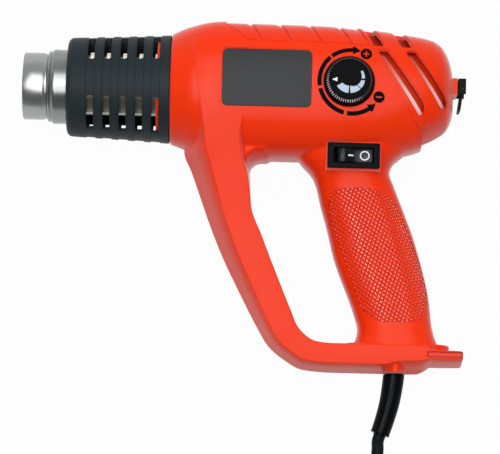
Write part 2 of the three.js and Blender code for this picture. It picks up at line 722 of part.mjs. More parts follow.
const nozzleRear = HOUSING_FRONT_U + WALL + FIT + FLARE_LENGTH;
const nozzle = alongU([
  [MOUTH_RADIUS - TUBE_WALL, MOUTH_U],
  [MOUTH_RADIUS, MOUTH_U],
  [MOUTH_RADIUS, BEAD_U],
  [TUBE_RADIUS, BEAD_U + BEAD_LENGTH / 2],
  [TUBE_RADIUS, nozzleRear - FLARE_LENGTH],
  [FLARE_RADIUS, nozzleRear - FLARE_LENGTH],
  [FLARE_RADIUS, nozzleRear],
  [TUBE_RADIUS - TUBE_WALL, nozzleRear],
  [TUBE_RADIUS - TUBE_WALL, BEAD_U + BEAD_LENGTH / 2 + TUBE_WALL],
  [MOUTH_RADIUS - TUBE_WALL, BEAD_U + TUBE_WALL],
]);

// Heater inside the nozzle
const sleeveOuter = TUBE_RADIUS - TUBE_WALL - FIT;
const sleeveRear = nozzleRear - BASE_THICKNESS - FIT;
const sleeve = alongU(
  ring(sleeveOuter - SLEEVE_WALL, sleeveOuter, sleeveRear - SLEEVE_LENGTH, sleeveRear),
);
const crossRear = sleeveRear;
const crossFront = crossRear - CROSS_LENGTH;
const crossArm = (alongVAxis) => {
  const [w, v] = alongVAxis ? [CROSS_PLATE / 2, CROSS_RADIUS] : [CROSS_RADIUS, CROSS_PLATE / 2];
  return box(crossFront, crossRear, -w, w, -v, v);
};
const cross = crossArm(true).add(crossArm(false));
const baseHoles = Array.from({ length: BASE_HOLES }, (_, i) => {
  const angle = (2 * Math.PI * (i + 0.5)) / BASE_HOLES;
  return alongU(
    rod(BASE_HOLE_RADIUS, sleeveRear - OVERRUN, nozzleRear + OVERRUN), SMALL_SIDES,
    BASE_HOLE_CIRCLE * Math.cos(angle), BASE_HOLE_CIRCLE * Math.sin(angle),
  );
});
const heaterBase = cut(alongU(rod(sleeveOuter, sleeveRear + FIT, nozzleRear)), baseHoles);
const windingRadius = CROSS_RADIUS + FIT + WINDING_WIRE / 2;
const CURL_STEPS = 8;
const CURL_SIDES = 5;
const windingPoints = Array.from({ length: WINDING_TURNS * CURL_STEPS + 1 }, (_, i) => {
  const angle = (2 * Math.PI * i) / CURL_STEPS;
  return new THREE.Vector3(
    crossRear - FIT - WINDING_WIRE - (WINDING_PITCH * i) / CURL_STEPS,
    windingRadius * Math.cos(angle),
    windingRadius * Math.sin(angle),
  );
});
const winding = solid(woundTube(windingPoints, WINDING_WIRE / 2, CURL_SIDES));
const windingGap = leastGap(windingPoints, WINDING_WIRE / 2, CURL_STEPS / 2);
console.log("heater winding, least gap", windingGap.toFixed(2));
const cutout = box(
  nozzleRear + FIT, nozzleRear + FIT + CUTOUT_SIZE[0],
  -CUTOUT_SIZE[1] / 2, CUTOUT_SIZE[1] / 2, -CUTOUT_SIZE[2] / 2, CUTOUT_SIZE[2] / 2,
);

// Fan duct, impeller and motor
const ductFront = nozzleRear + FIT;
const motorRing = MOTOR_RADIUS + FIT;
const ductProfile = [
  [TUBE_RADIUS, ductFront],
  [TUBE_RADIUS + DUCT_WALL, ductFront],
  [DUCT_RADIUS, DUCT_CONE_END_U],
  [DUCT_RADIUS, DUCT_END_U],
  [DUCT_RADIUS - DUCT_WALL, DUCT_END_U],
  [DUCT_RADIUS - DUCT_WALL, DUCT_CONE_END_U],
];
const spokes = Array.from({ length: DUCT_SPOKES }, (_, i) => {
  const spoke = new THREE.BoxGeometry(WALL, DUCT_RADIUS - DUCT_WALL / 2 - motorRing, DUCT_SPOKE_WIDTH)
    .translate(DUCT_END_U - WALL / 2, (DUCT_RADIUS - DUCT_WALL / 2 + motorRing) / 2, 0)
    .rotateX((2 * Math.PI * (i + 0.5)) / DUCT_SPOKES);
  return solid(spoke);
});
const leadHoleU = ductFront + 7;
const leadHole = alongW(rod(LEAD_RADIUS + 3 * FIT, -FAR, 0), leadHoleU, 0, SMALL_SIDES);
const LEAD_SPREAD = 4;
const duct = cut(
  join([
    alongU(ductProfile),
    alongU(ring(motorRing, motorRing + WALL, DUCT_END_U - WALL, DUCT_END_U + 2 * WALL), ROUND_SIDES),
    ...spokes,
  ]),
  [leadHole.translate([0, 0, LEAD_SPREAD]), leadHole.translate([0, 0, -LEAD_SPREAD])],
);
const shaftBore = SHAFT_RADIUS + FIT;
const bladeTip = DUCT_RADIUS - DUCT_WALL - IMPELLER_TIP_GAP;
const bladeChord = IMPELLER_LENGTH * 0.9;
const blades = Array.from({ length: IMPELLER_BLADES }, (_, i) => {
  const blade = new THREE.BoxGeometry(BLADE_THICKNESS, bladeTip - IMPELLER_HUB_RADIUS, bladeChord)
    .rotateY(THREE.MathUtils.degToRad(BLADE_PITCH))
    .translate(IMPELLER_U + IMPELLER_LENGTH / 2, (bladeTip + IMPELLER_HUB_RADIUS) / 2 - OVERRUN / 2, 0)
    .rotateX((2 * Math.PI * i) / IMPELLER_BLADES);
  return solid(blade);
});
const impeller = join([
  alongU(ring(shaftBore, IMPELLER_HUB_RADIUS, IMPELLER_U, IMPELLER_U + IMPELLER_LENGTH), ROUND_SIDES),
  ...blades,
]);
const canFront = MOTOR_U;
const canRear = MOTOR_U + MOTOR_LENGTH;
const canInner = MOTOR_RADIUS - MOTOR_CAN_WALL;
const motorCan = alongU([
  [shaftBore, canFront], [MOTOR_RADIUS, canFront], [MOTOR_RADIUS, canRear],
  [canInner, canRear], [canInner, canFront + MOTOR_CAN_WALL], [shaftBore, canFront + MOTOR_CAN_WALL],
], ROUND_SIDES);
const capFront = canRear + FIT;
const endCap = alongU([
  [0, capFront + 2], [shaftBore, capFront + 2], [shaftBore, capFront], [MOTOR_RADIUS, capFront],
  [MOTOR_RADIUS, capFront + MOTOR_CAP_LENGTH], [0, capFront + MOTOR_CAP_LENGTH],
], ROUND_SIDES);
const magnetOuter = canInner - FIT;
const magnetU = canFront + MOTOR_CAN_WALL + FIT;
const magnet = alongU(
  ring(magnetOuter - MAGNET_WALL, magnetOuter, magnetU, magnetU + MAGNET_LENGTH), ROUND_SIDES,
);
const coreRadius = magnetOuter - MAGNET_WALL - RUNNING_GAP;
const coreU = magnetU + (MAGNET_LENGTH - CORE_LENGTH) / 2;
const armature = alongU([
  [shaftBore, coreU], [coreRadius, coreU], [coreRadius, coreU + CORE_LENGTH],
  [COMMUTATOR_RADIUS, coreU + CORE_LENGTH + 2],
  [COMMUTATOR_RADIUS, coreU + CORE_LENGTH + 2 + COMMUTATOR_LENGTH],
  [shaftBore, coreU + CORE_LENGTH + 2 + COMMUTATOR_LENGTH],
], ROUND_SIDES);
const shaft = alongU(rod(SHAFT_RADIUS, IMPELLER_U - 1, capFront + 2 - FIT), SMALL_SIDES);

// Board with its parts, dial and spindle
const [boardU0, boardU1, boardW0, boardW1] = BOARD_BOX;
const boardScrews = BOARD_POSTS.slice(1, 3);
const board = cut(
  box(boardU0, boardU1, boardW0, boardW1, BOARD_V, boardTop),
  boardScrews.map(([u, w]) => alongV(rod(SMALL_SCREW_RADIUS + FIT, BOARD_V - 1, boardTop + 1), u, w)),
);
const smallScrew = (u, w, headV, reach, direction) => {
  const profile = [
    [0, 0], [SMALL_HEAD_RADIUS, 0], [SMALL_HEAD_RADIUS, SMALL_HEAD_HEIGHT],
    [SMALL_SCREW_RADIUS, SMALL_HEAD_HEIGHT], [SMALL_SCREW_RADIUS, SMALL_HEAD_HEIGHT + reach],
    [0, SMALL_HEAD_HEIGHT + reach],
  ].map(([r, d]) => [r, headV + direction * d]);
  return alongV(profile, u, w);
};
const boardScrewHead = BOARD_V - FIT - SMALL_HEAD_HEIGHT;
const potBase = boardTop + FIT;
const potBore = SPINDLE_RADIUS + FIT;
const pot = alongV([
  [0, potBase], [POT_RADIUS, potBase], [POT_RADIUS, potBase + POT_HEIGHT],
  [POT_BUSH_RADIUS, potBase + POT_HEIGHT], [POT_BUSH_RADIUS, potBase + POT_HEIGHT + POT_BUSH_LENGTH],
  [potBore, potBase + POT_HEIGHT + POT_BUSH_LENGTH], [potBore, potBase + 2], [0, potBase + 2],
], DIAL_U, DIAL_W, ROUND_SIDES);
const dialBase = DIAL_SEAT_V + FIT;
const dialTop = dialBase + DIAL_HEIGHT;
const dialRoof = dialTop - 2.2;
const spindle = alongV(rod(SPINDLE_RADIUS, potBase + 2 + FIT, dialRoof - FIT), DIAL_U, DIAL_W, ROUND_SIDES);
const dial = alongV([
  [potBore, dialBase], [DIAL_RADIUS, dialBase], [DIAL_RADIUS, dialBase + DIAL_SKIRT],
  [DIAL_KNURL_RADIUS, dialBase + DIAL_SKIRT + 1.2], [DIAL_KNURL_RADIUS, dialTop - 1.2],
  [DIAL_FACE_RADIUS, dialTop], [0, dialTop], [0, dialRoof], [potBore, dialRoof],
], DIAL_U, DIAL_W, BARREL_SIDES);
const insideBoard = BOARD_V - FIT;
const onBoard = ([u0, u1, w0, w1], height) => box(u0, u1, w0, w1, insideBoard - height, insideBoard);
const [sinkU0, sinkU1, sinkW0, sinkW1] = HEATSINK_BOX;
const heatsink = onBoard(HEATSINK_BOX, HEATSINK_HEIGHT).subtract(box(
  sinkU0 + HEATSINK_WALL, sinkU1 - HEATSINK_WALL, sinkW0 - OVERRUN, sinkW1 - HEATSINK_WALL,
  insideBoard - HEATSINK_HEIGHT - OVERRUN, insideBoard - HEATSINK_WALL,
));
const capacitor = onBoard(CAPACITOR_BOX, CAPACITOR_HEIGHT);
const rectifier = onBoard(RECTIFIER_BOX, RECTIFIER_HEIGHT);

// Switch
const bezelBack = PAD_V + FIT;
const bezelFront = bezelBack + BEZEL_HEIGHT;
const hingeV = bezelFront - ROCKER_HINGE_DEPTH - BEZEL_HEIGHT;
const apertureU = ROCKER_SIZE[0] / 2 + 1.4;
const apertureW = ROCKER_SIZE[1] / 2 + FIT;
const apertureFloor = hingeV - ROCKER_DEPTH - 2.5;
const pivot = (radius, reach) => {
  const half = ROCKER_SIZE[1] / 2 + reach;
  return alongW(rod(radius, SWITCH_W - half, SWITCH_W + half), SWITCH_U, hingeV, SMALL_SIDES);
};
const switchBody = cut(
  join([
    switchBox(0, PAD_V - SWITCH_DEPTH, PAD_V),
    prism(roundedOutline(SWITCH_U, SWITCH_W, BEZEL_SIZE[0], BEZEL_SIZE[1], 1), bezelBack, bezelFront),
    switchBox(-FIT, PAD_V - 1, bezelBack + 0.5),
  ]),
  [
    box(
      SWITCH_U - apertureU, SWITCH_U + apertureU, SWITCH_W - apertureW, SWITCH_W + apertureW,
      apertureFloor, bezelFront + OVERRUN,
    ),
    pivot(PIVOT_RADIUS + FIT, 1.2),
  ],
);
const rockerHalf = ROCKER_SIZE[0] / 2;
const rockerOutline = [
  [-rockerHalf, ROCKER_RIDGE], [0, ROCKER_VALLEY], [rockerHalf, ROCKER_RIDGE],
  [rockerHalf - ROCKER_TAPER, -1], [ROCKER_ROOT, -ROCKER_DEPTH], [-ROCKER_ROOT, -ROCKER_DEPTH],
  [ROCKER_TAPER - rockerHalf, -1],
].map(([u, v]) => new THREE.Vector2(u, v));
const rockerBlock = new THREE.ExtrudeGeometry(new THREE.Shape(rockerOutline), {
  depth: ROCKER_SIZE[1], bevelEnabled: false,
})
  .rotateZ(-THREE.MathUtils.degToRad(ROCKER_TILT))
  .rotateX(Math.PI / 2)
  .translate(SWITCH_U, SWITCH_W + ROCKER_SIZE[1] / 2, hingeV);
const rocker = solid(rockerBlock).add(pivot(PIVOT_RADIUS, 0.9));
const terminals = [-1, 1].map((side) => {
  const u = SWITCH_U + (side * TERMINAL_SPACING) / 2;
  const top = PAD_V - SWITCH_DEPTH - FIT;
  return box(
    u - TERMINAL_SIZE[0] / 2, u + TERMINAL_SIZE[0] / 2,
    SWITCH_W - TERMINAL_SIZE[1] / 2, SWITCH_W + TERMINAL_SIZE[1] / 2, top - TERMINAL_SIZE[2], top,
  );
});

// Strain relief, clamp and wires
const RELIEF_PATH = [
  [ENTRY_U, reliefTop, RELIEF_FLANGE_RADIUS],
  [ENTRY_U, reliefTop - RELIEF_FLANGE, RELIEF_FLANGE_RADIUS],
  [ENTRY_U, reliefTop - RELIEF_FLANGE, RELIEF_NECK_RADIUS],
  [ENTRY_U, FOOT_W - 2 * FIT, RELIEF_NECK_RADIUS],
  ...RELIEF_SECTIONS.map(([lean, drop, radius]) => [ENTRY_U - lean, FOOT_W - drop, radius]),
];
const reliefStraight = RELIEF_PATH.length - RELIEF_SECTIONS.length;
function sweptCircle(path, sides) {
  const rings = path.map(([u, w, radius], i) => {
    const [beforeU, beforeW] = path[Math.max(i - 2, 0)];
    const [afterU, afterW] = path[Math.min(i + 2, path.length - 1)];
    const ahead = new THREE.Vector2(0, -1);
    if (i > reliefStraight) ahead.set(afterU - beforeU, afterW - beforeW).normalize();
    return Array.from({ length: sides }, (_, s) => {
      const angle = (2 * Math.PI * s) / sides;
      const aside = radius * Math.cos(angle);
      return new THREE.Vector3(u - ahead.y * aside, w + ahead.x * aside, radius * Math.sin(angle));
    });
  });
  return solid(loft(rings));
}
const relief = sweptCircle(RELIEF_PATH, RELIEF_SIDES);
const [reliefEndU, reliefEndW] = RELIEF_PATH.at(-1);
const sheath = alongW(rod(CORD_DIAMETER / 2, reliefTop + FIT, SHEATH_TOP_W), ENTRY_U, 0, SMALL_SIDES);
const clampBar = cut(
  box(
    ENTRY_U - CLAMP_SIZE[0] / 2, ENTRY_U + CLAMP_SIZE[0] / 2,
    CLAMP_W - CLAMP_SIZE[1] / 2, CLAMP_W + CLAMP_SIZE[1] / 2, clampFace, clampFace + CLAMP_SIZE[2],
  ),
  clampPlaces.map((u) => alongV(rod(SMALL_SCREW_RADIUS + FIT, 0, FAR), u, CLAMP_W)),
);
const clampScrewHead = clampFace + CLAMP_SIZE[2] + FIT + SMALL_HEAD_HEIGHT;
const lead = (points, radius = LEAD_RADIUS) =>
  solid(tube(points.map(([u, w, v]) => new THREE.Vector3(u, w, v)), radius, 6, 12));
const terminalTip = PAD_V - SWITCH_DEPTH - FIT - TERMINAL_SIZE[2] - FIT;
const sheathEnd = SHEATH_TOP_W + FIT;
const leadLive = lead([
  [ENTRY_U - 1.6, sheathEnd, 0], [ENTRY_U - 2.5, sheathEnd + 6, 0], [82, -118, 0], [75, -95, 0],
  [70, -76, -5], [67, -58, -8], [SWITCH_U + TERMINAL_SPACING / 2, SWITCH_W - 6, -10],
  [SWITCH_U + TERMINAL_SPACING / 2, SWITCH_W - 1, -7],
  [SWITCH_U + TERMINAL_SPACING / 2, SWITCH_W, terminalTip - LEAD_RADIUS],
]);
const besideSwitch = SWITCH_U + SWITCH_BODY_SIZE[0] / 2 + LEAD_RADIUS + SWITCH_CLEARANCE;
const leadNeutral = lead([
  [ENTRY_U + 1.6, sheathEnd, 0], [ENTRY_U + 2.5, sheathEnd + 6, 0], [89, -118, 2], [84.5, -95, 4],
  [81.5, -76, 6], [80.4, -66, 7.5], [78, -58, 8.5], [besideSwitch, -48, 9.5], [besideSwitch, -38, 13.5],
  [77.4, boardW0 - 6, BOARD_V + BOARD_THICKNESS / 2],
  [77.5, boardW0 - FIT, BOARD_V + BOARD_THICKNESS / 2],
]);
const heaterLead = (side) => lead([
  [nozzleRear + FIT, -9.5, side * LEAD_SPREAD], [nozzleRear + 4.5, -12, side * LEAD_SPREAD],
  [leadHoleU - 0.6, -17, side * LEAD_SPREAD], [leadHoleU, -25, side * LEAD_SPREAD],
  [leadHoleU + 1.6, -31, side * LEAD_SPREAD], [leadHoleU + 8, -34.6, side * LEAD_SPREAD],
  [DUCT_CONE_END_U, -34.4, side * LEAD_SPREAD], [ductRibU + 5, -34.2, side * LEAD_SPREAD],
  [22, -34, side * LEAD_SPREAD + 2], [37 - side * 3, -31, 15 + side],
  [40 - side * 3, boardW0 - 4, BOARD_V + BOARD_THICKNESS / 2],
  [40 - side * 3, boardW0 - FIT, BOARD_V + BOARD_THICKNESS / 2],
]);

// Hang bracket, loop and pin on the rear
const pinU = bracketU + BRACKET_SIZE[0] - LOOP_BARREL_RADIUS - 0.2;
const pinW = BRACKET_W + LOOP_BARREL_RADIUS + 1;
const bracket = cut(
  box(
    bracketU, bracketU + BRACKET_SIZE[0], BRACKET_W, BRACKET_W + BRACKET_SIZE[1],
    -BRACKET_SIZE[2] / 2, BRACKET_SIZE[2] / 2,
  ),
  [
    box(
      bracketU + 0.6, bracketU + BRACKET_SIZE[0] + 1, BRACKET_W - 1, pinW + LOOP_BARREL_RADIUS + 0.5,
      -LOOP_WIDTH / 2 - FIT, LOOP_WIDTH / 2 + FIT,
    ),
    alongV(rod(LOOP_PIN_RADIUS + 0.1, -BRACKET_SIZE[2] / 2 - 1, BRACKET_SIZE[2] / 2 + 1), pinU, pinW),
    bracketScrewHole(bracketU - 1, bracketU + 3),
  ],
);
const hangPin = alongV(rod(LOOP_PIN_RADIUS, -BRACKET_SIZE[2] / 2, BRACKET_SIZE[2] / 2), pinU, pinW);
const loopEnd = pinW - LOOP_LENGTH;
const loopPlate = solid(
  new THREE.BoxGeometry(LOOP_THICKNESS, LOOP_LENGTH, LOOP_WIDTH).translate(0, -LOOP_LENGTH / 2, 0)
    .rotateZ(-THREE.MathUtils.degToRad(8)).translate(pinU, pinW, 0),
);
const hangLoop = cut(
  join([loopPlate, alongV(rod(LOOP_BARREL_RADIUS, -LOOP_WIDTH / 2, LOOP_WIDTH / 2), pinU, pinW, 12)]),
  [
    alongV(rod(LOOP_PIN_RADIUS + FIT, -LOOP_WIDTH, LOOP_WIDTH), pinU, pinW),
    box(
      pinU - 8, pinU + 8, loopEnd + 2.6, loopEnd + 2.6 + LOOP_EYE[1], -LOOP_EYE[0] / 2, LOOP_EYE[0] / 2,
    ),
  ],
);
const bracketScrewSeat = bossU - 2 * WALL - FIT;
const bracketScrew = alongU([
  [0, bracketScrewSeat - SMALL_HEAD_HEIGHT], [SMALL_HEAD_RADIUS, bracketScrewSeat - SMALL_HEAD_HEIGHT],
  [SMALL_HEAD_RADIUS, bracketScrewSeat], [SMALL_SCREW_RADIUS, bracketScrewSeat],
  [SMALL_SCREW_RADIUS, bracketU + 2.4], [0, bracketU + 2.4],
], SMALL_SIDES, bracketScrewW);

const labelPlate = labelPrism(0, MOTOR_RADIUS)
  .intersect(bodyForm(LABEL_RECESS - LABEL_THICKNESS - FIT))
  .subtract(bodyForm(LABEL_RECESS - FIT));

const housingScrews = screwPlaces.map(({ u, w, head }) => alongV([
  [0, head], [SCREW_HEAD_RADIUS, head], [SCREW_HEAD_RADIUS, head + SCREW_HEAD_HEIGHT],
  [SCREW_RADIUS, head + SCREW_HEAD_HEIGHT], [SCREW_RADIUS, SCREW_REACH], [0, SCREW_REACH],
], u, w));

// The tool's pieces in its own axes, and the cord's pieces on the surface
const tool = new THREE.Group();
const cordGroup = new THREE.Group();
function add(group, name, made, colour) {
  const geometry = made.isBufferGeometry ? made : geometryOf(made);
  const mesh = new THREE.Mesh(geometry, material(COLOURS[colour]));
  mesh.name = name;
  group.add(mesh);
  return mesh;
}

add(tool, "left_housing", leftHousing, "shell");
add(tool, "right_housing", rightHousing, "shell");
add(tool, "rear_cover", rearCover, "shell");
add(tool, "label_plate", labelPlate, "label");
add(tool, "nozzle", nozzle, "metal");
add(tool, "barrel_shroud", shroud, "dark");
add(tool, "mica_sleeve", sleeve, "mica");
add(tool, "mica_cross", cross, "mica");
add(tool, "heater_winding", winding, "metal");
add(tool, "heater_base", heaterBase, "ceramic");
add(tool, "thermal_cutout", cutout, "metal");
add(tool, "fan_duct", duct, "dark");
add(tool, "impeller", impeller, "dark");
add(tool, "motor_can", motorCan, "metal");
add(tool, "motor_end_cap", endCap, "dark");
add(tool, "motor_magnet", magnet, "dark");
add(tool, "motor_armature", armature, "brass");
add(tool, "motor_shaft", shaft, "metal");
add(tool, "temperature_dial", dial, "dark");
add(tool, "dial_spindle", spindle, "dark");
add(tool, "potentiometer", pot, "dark");
add(tool, "control_board", board, "board");
add(tool, "triac_heatsink", heatsink, "metal");
add(tool, "capacitor", capacitor, "ceramic");
add(tool, "rectifier", rectifier, "dark");
add(tool, "switch_body", switchBody, "dark");
add(tool, "switch_rocker", rocker, "dark");
terminals.forEach((made, i) => add(tool, "switch_terminal_" + (i + 1), made, "brass"));
add(tool, "strain_relief", relief, "cord");
add(tool, "cord_sheath_end", sheath, "cord");
add(tool, "cord_clamp", clampBar, "dark");
clampPlaces.forEach((u, i) =>
  add(tool, "clamp_screw_" + (i + 1), smallScrew(u, CLAMP_W, clampScrewHead, 14, -1), "metal"));
boardScrews.forEach(([u, w], i) =>
  add(tool, "board_screw_" + (i + 1), smallScrew(u, w, boardScrewHead, 9, 1), "metal"));
add(tool, "lead_live", leadLive, "brown");
add(tool, "lead_neutral", leadNeutral, "blue");
add(tool, "heater_lead_1", heaterLead(1), "ceramic");
add(tool, "heater_lead_2", heaterLead(-1), "ceramic");
housingScrews.forEach((made, i) => add(tool, "housing_screw_" + (i + 1), made, "metal"));
add(tool, "hang_bracket", bracket, "dark");
add(tool, "hang_loop", hangLoop, "dark");
add(tool, "hang_pin", hangPin, "metal");
add(tool, "bracket_screw", bracketScrew, "metal");

// The tool tips until its body and its foot both touch the surface
function lowest(geometry, tilt, keep) {
  const position = geometry.attributes.position;
  let low = Infinity;
  for (let i = 0; i < position.count; i++) {
    if (keep(position.getY(i))) {
      low = Math.min(low, position.getZ(i) * Math.cos(tilt) + position.getY(i) * Math.sin(tilt));
    }
  }
  return low;
}
const rightSide = tool.getObjectByName("right_housing").geometry;
let tiltLow = 0;
let tiltHigh = 0.3;
for (let i = 0; i < 40; i++) {
  const tilt = (tiltLow + tiltHigh) / 2;
  const body = lowest(rightSide, tilt, (w) => w > -80);
  const foot = lowest(rightSide, tilt, (w) => w < -120);
  if (foot > body) tiltLow = tilt;
  else tiltHigh = tilt;
}
const TILT = (tiltLow + tiltHigh) / 2;
const AXIS_HEIGHT = -lowest(rightSide, TILT, () => true);
tool.rotation.x = TILT;
tool.position.z = AXIS_HEIGHT;

// Cord on the surface
const onSurface = (u, w, v) => new THREE.Vector3(
  u, w * Math.cos(TILT) - v * Math.sin(TILT), w * Math.sin(TILT) + v * Math.cos(TILT) + AXIS_HEIGHT,
);
const cordRadius = CORD_DIAMETER / 2;
const exit = onSurface(reliefEndU, reliefEndW, 0);
const beforeExit = onSurface(RELIEF_PATH.at(-3)[0], RELIEF_PATH.at(-3)[1], 0);
const exitWay = exit.clone().sub(beforeExit).normalize();
const coilLow = cordRadius + COIL_LIFT;
const coilPoint = (turns) => {
  const half = COIL_TURNS / 2;
  const inward = Math.min(turns, COIL_TURNS - turns);
  const radius = COIL_OUTER_RADIUS - COIL_PITCH * inward;
  const climb = THREE.MathUtils.clamp((turns - half) * 2 + 0.5, 0, 1);
  const angle = -2 * Math.PI * turns;
  return new THREE.Vector3(
    COIL_CENTRE[0] + radius * Math.cos(angle),
    COIL_CENTRE[1] + radius * Math.sin(angle),
    coilLow + COIL_PITCH * (climb * climb * (3 - 2 * climb)),
  );
};
const coilSteps = Math.round(COIL_TURNS * LOOP_STEPS);
const coilPoints = Array.from({ length: coilSteps + 1 }, (_, i) => coilPoint((COIL_TURNS * i) / coilSteps));
const coilStart = coilPoints[0].clone().add(new THREE.Vector3(0, CORD_DIAMETER, 0));
const coilEnd = coilPoints.at(-1).clone().add(new THREE.Vector3(0, CORD_DIAMETER, 0));
coilPoints.unshift(coilStart);
coilPoints.push(coilEnd);
console.log("cord coil, least gap", leastGap(coilPoints, cordRadius, LOOP_STEPS / 2).toFixed(2));

const vectors = (points) => points.map((p) => new THREE.Vector3(...p));
const runPath = [
  exit.clone().addScaledVector(exitWay, FIT),
  exit.clone().addScaledVector(exitWay, 4),
  ...vectors(RUN_POINTS),
  coilStart.clone().add(new THREE.Vector3(0, 4, 0)),
  coilStart.clone().add(new THREE.Vector3(0, FIT, 0)),
];
const tailPath = [
  coilEnd.clone().add(new THREE.Vector3(0, FIT, 0)),
  ...vectors(TAIL_POINTS),
  new THREE.Vector3(...PLUG_START).add(new THREE.Vector3(0, CORD_DIAMETER, 0)),
  new THREE.Vector3(...PLUG_START).add(new THREE.Vector3(0, FIT, 0)),
];
const pathLength = (points) => new THREE.CatmullRomCurve3(points, false, "centripetal").getLength();
const coilLength = coilPoints.slice(1).reduce((sum, p, i) => sum + p.distanceTo(coilPoints[i]), 0);
const cordLengths = [pathLength(runPath), coilLength, pathLength(tailPath)];
console.log("cord lengths", ...cordLengths.map((length) => length.toFixed(0)));
add(cordGroup, "cord_run", tube(runPath, cordRadius, CORD_SIDES, 2 * CORD_DIAMETER), "cord");
add(cordGroup, "cord_coil", woundTube(coilPoints, cordRadius, COIL_SIDES), "cord");
add(cordGroup, "cord_tail", tube(tailPath, cordRadius, CORD_SIDES, 2 * CORD_DIAMETER), "cord");

// A strap round the whole bundle
const innerTurn = COIL_OUTER_RADIUS - (COIL_PITCH * COIL_TURNS) / 2;
const bundleInner = innerTurn - cordRadius - FIT;
const bundleOuter = COIL_OUTER_RADIUS + cordRadius + FIT;
const bundleLow = COIL_LIFT - FIT;
const bundleHigh = COIL_LIFT + COIL_PITCH + CORD_DIAMETER + FIT;
const strap = new THREE.Shape(
  roundedOutline(
    (bundleInner + bundleOuter) / 2, (bundleLow + bundleHigh) / 2,
    bundleOuter - bundleInner + 2 * TIE_THICKNESS, bundleHigh - bundleLow + 2 * TIE_THICKNESS, 4,
  ).map(([r, z]) => new THREE.Vector2(r, z)),
);
strap.holes.push(new THREE.Path(
  roundedOutline(
    (bundleInner + bundleOuter) / 2, (bundleLow + bundleHigh) / 2, bundleOuter - bundleInner,
    bundleHigh - bundleLow, 4 - TIE_THICKNESS,
  ).map(([r, z]) => new THREE.Vector2(r, z)),
));
const tie = new THREE.ExtrudeGeometry(strap, { depth: TIE_WIDTH, bevelEnabled: false })
  .translate(0, 0, -TIE_WIDTH / 2)
  .rotateX(Math.PI / 2)
  .rotateZ(THREE.MathUtils.degToRad(TIE_ANGLE))
  .translate(COIL_CENTRE[0], COIL_CENTRE[1], 0);
add(cordGroup, "cord_tie", tie, "dark");

// Mains plug lying on its flat side, its pins pointing away from the coil's tail
const plugForm = loft(PLUG_SECTIONS.map(([along, halfWidth, halfHeight, power]) =>
  Array.from({ length: GRIP_SIDES }, (_, i) => {
    const [across, up] = superellipse((2 * Math.PI * (i + 0.5)) / GRIP_SIDES, power);
    return new THREE.Vector3(
      PLUG_START[0] + across * halfWidth, PLUG_START[1] - along, PLUG_START[2] + up * halfHeight,
    );
  })));
const pinHoles = [-1, 1].map((side) =>
  solid(turned(rod(PIN_RADIUS + FIT, -PLUG_LENGTH - OVERRUN, PIN_SINK - PLUG_LENGTH), SMALL_SIDES)
    .translate(PLUG_START[0] + (side * PIN_SPACING) / 2, PLUG_START[1], PLUG_START[2])));
add(cordGroup, "plug_body", cut(solid(plugForm), pinHoles), "dark");
[-1, 1].forEach((side, i) => add(
  cordGroup, "plug_pin_" + (i + 1),
  turned(rod(PIN_RADIUS, -PLUG_LENGTH - PIN_LENGTH, PIN_SINK - PLUG_LENGTH - FIT), SMALL_SIDES)
    .translate(PLUG_START[0] + (side * PIN_SPACING) / 2, PLUG_START[1], PLUG_START[2]),
  "brass",
));

// The origin lies under the middle of the tool, on the surface
const root = new THREE.Group();
root.add(tool, cordGroup);
tool.updateMatrixWorld(true);
const middle = new THREE.Box3().setFromObject(tool, true).getCenter(new THREE.Vector3());
root.position.set(-middle.x, -middle.y, 0);
console.log("tilt", TILT.toFixed(6), "axis height", AXIS_HEIGHT.toFixed(3));
console.log("middle", middle.x.toFixed(3), middle.y.toFixed(3));

export default root;
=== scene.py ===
"""Looks of the hot air tool that lies on its right side, with its cord coiled on the same surface.

Pieces are modelled in millimetres in the tool's own axes: u back along the barrel, w up from the grip and v
to the left side. TOOL takes them into the row's frame, in metres.
"""

import json
import math

import bmesh
import bpy
from mathutils import Euler, Matrix, Vector
from mathutils.bvhtree import BVHTree


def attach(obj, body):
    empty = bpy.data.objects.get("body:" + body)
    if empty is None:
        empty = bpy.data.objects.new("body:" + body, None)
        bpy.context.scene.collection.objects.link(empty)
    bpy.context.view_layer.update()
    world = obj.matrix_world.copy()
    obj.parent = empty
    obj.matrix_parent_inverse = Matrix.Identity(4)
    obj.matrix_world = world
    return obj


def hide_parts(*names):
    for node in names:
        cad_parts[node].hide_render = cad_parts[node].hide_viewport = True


bl_info = {
    "name": "Hot air tool",
    "version": (1, 0, 0),
    "blender": (4, 5, 0),
    "location": "3D View > Sidebar > Hot air tool",
    "description": "Builds the looks of a hot air tool round its packed solids",
    "category": "Object",
}

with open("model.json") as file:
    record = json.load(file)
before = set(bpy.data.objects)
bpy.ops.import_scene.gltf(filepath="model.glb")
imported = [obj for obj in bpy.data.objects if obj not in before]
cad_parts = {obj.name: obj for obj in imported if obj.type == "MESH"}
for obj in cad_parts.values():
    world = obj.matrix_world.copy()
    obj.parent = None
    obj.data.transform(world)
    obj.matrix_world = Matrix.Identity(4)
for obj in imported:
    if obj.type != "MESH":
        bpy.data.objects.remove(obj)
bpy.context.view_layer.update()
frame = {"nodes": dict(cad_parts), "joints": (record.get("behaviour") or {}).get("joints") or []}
JOINTS = {joint["name"]: joint for joint in frame["joints"]}

MM = 0.001
# Farther from the parting plane than any of the housing
FAR = 60
FIT = 0.3
WALL = 2.5
# Wider than the housing, along u and w
SIDE_SPAN = (-200, 200, -300, 100)
ROTOR_JOINT_U = 20


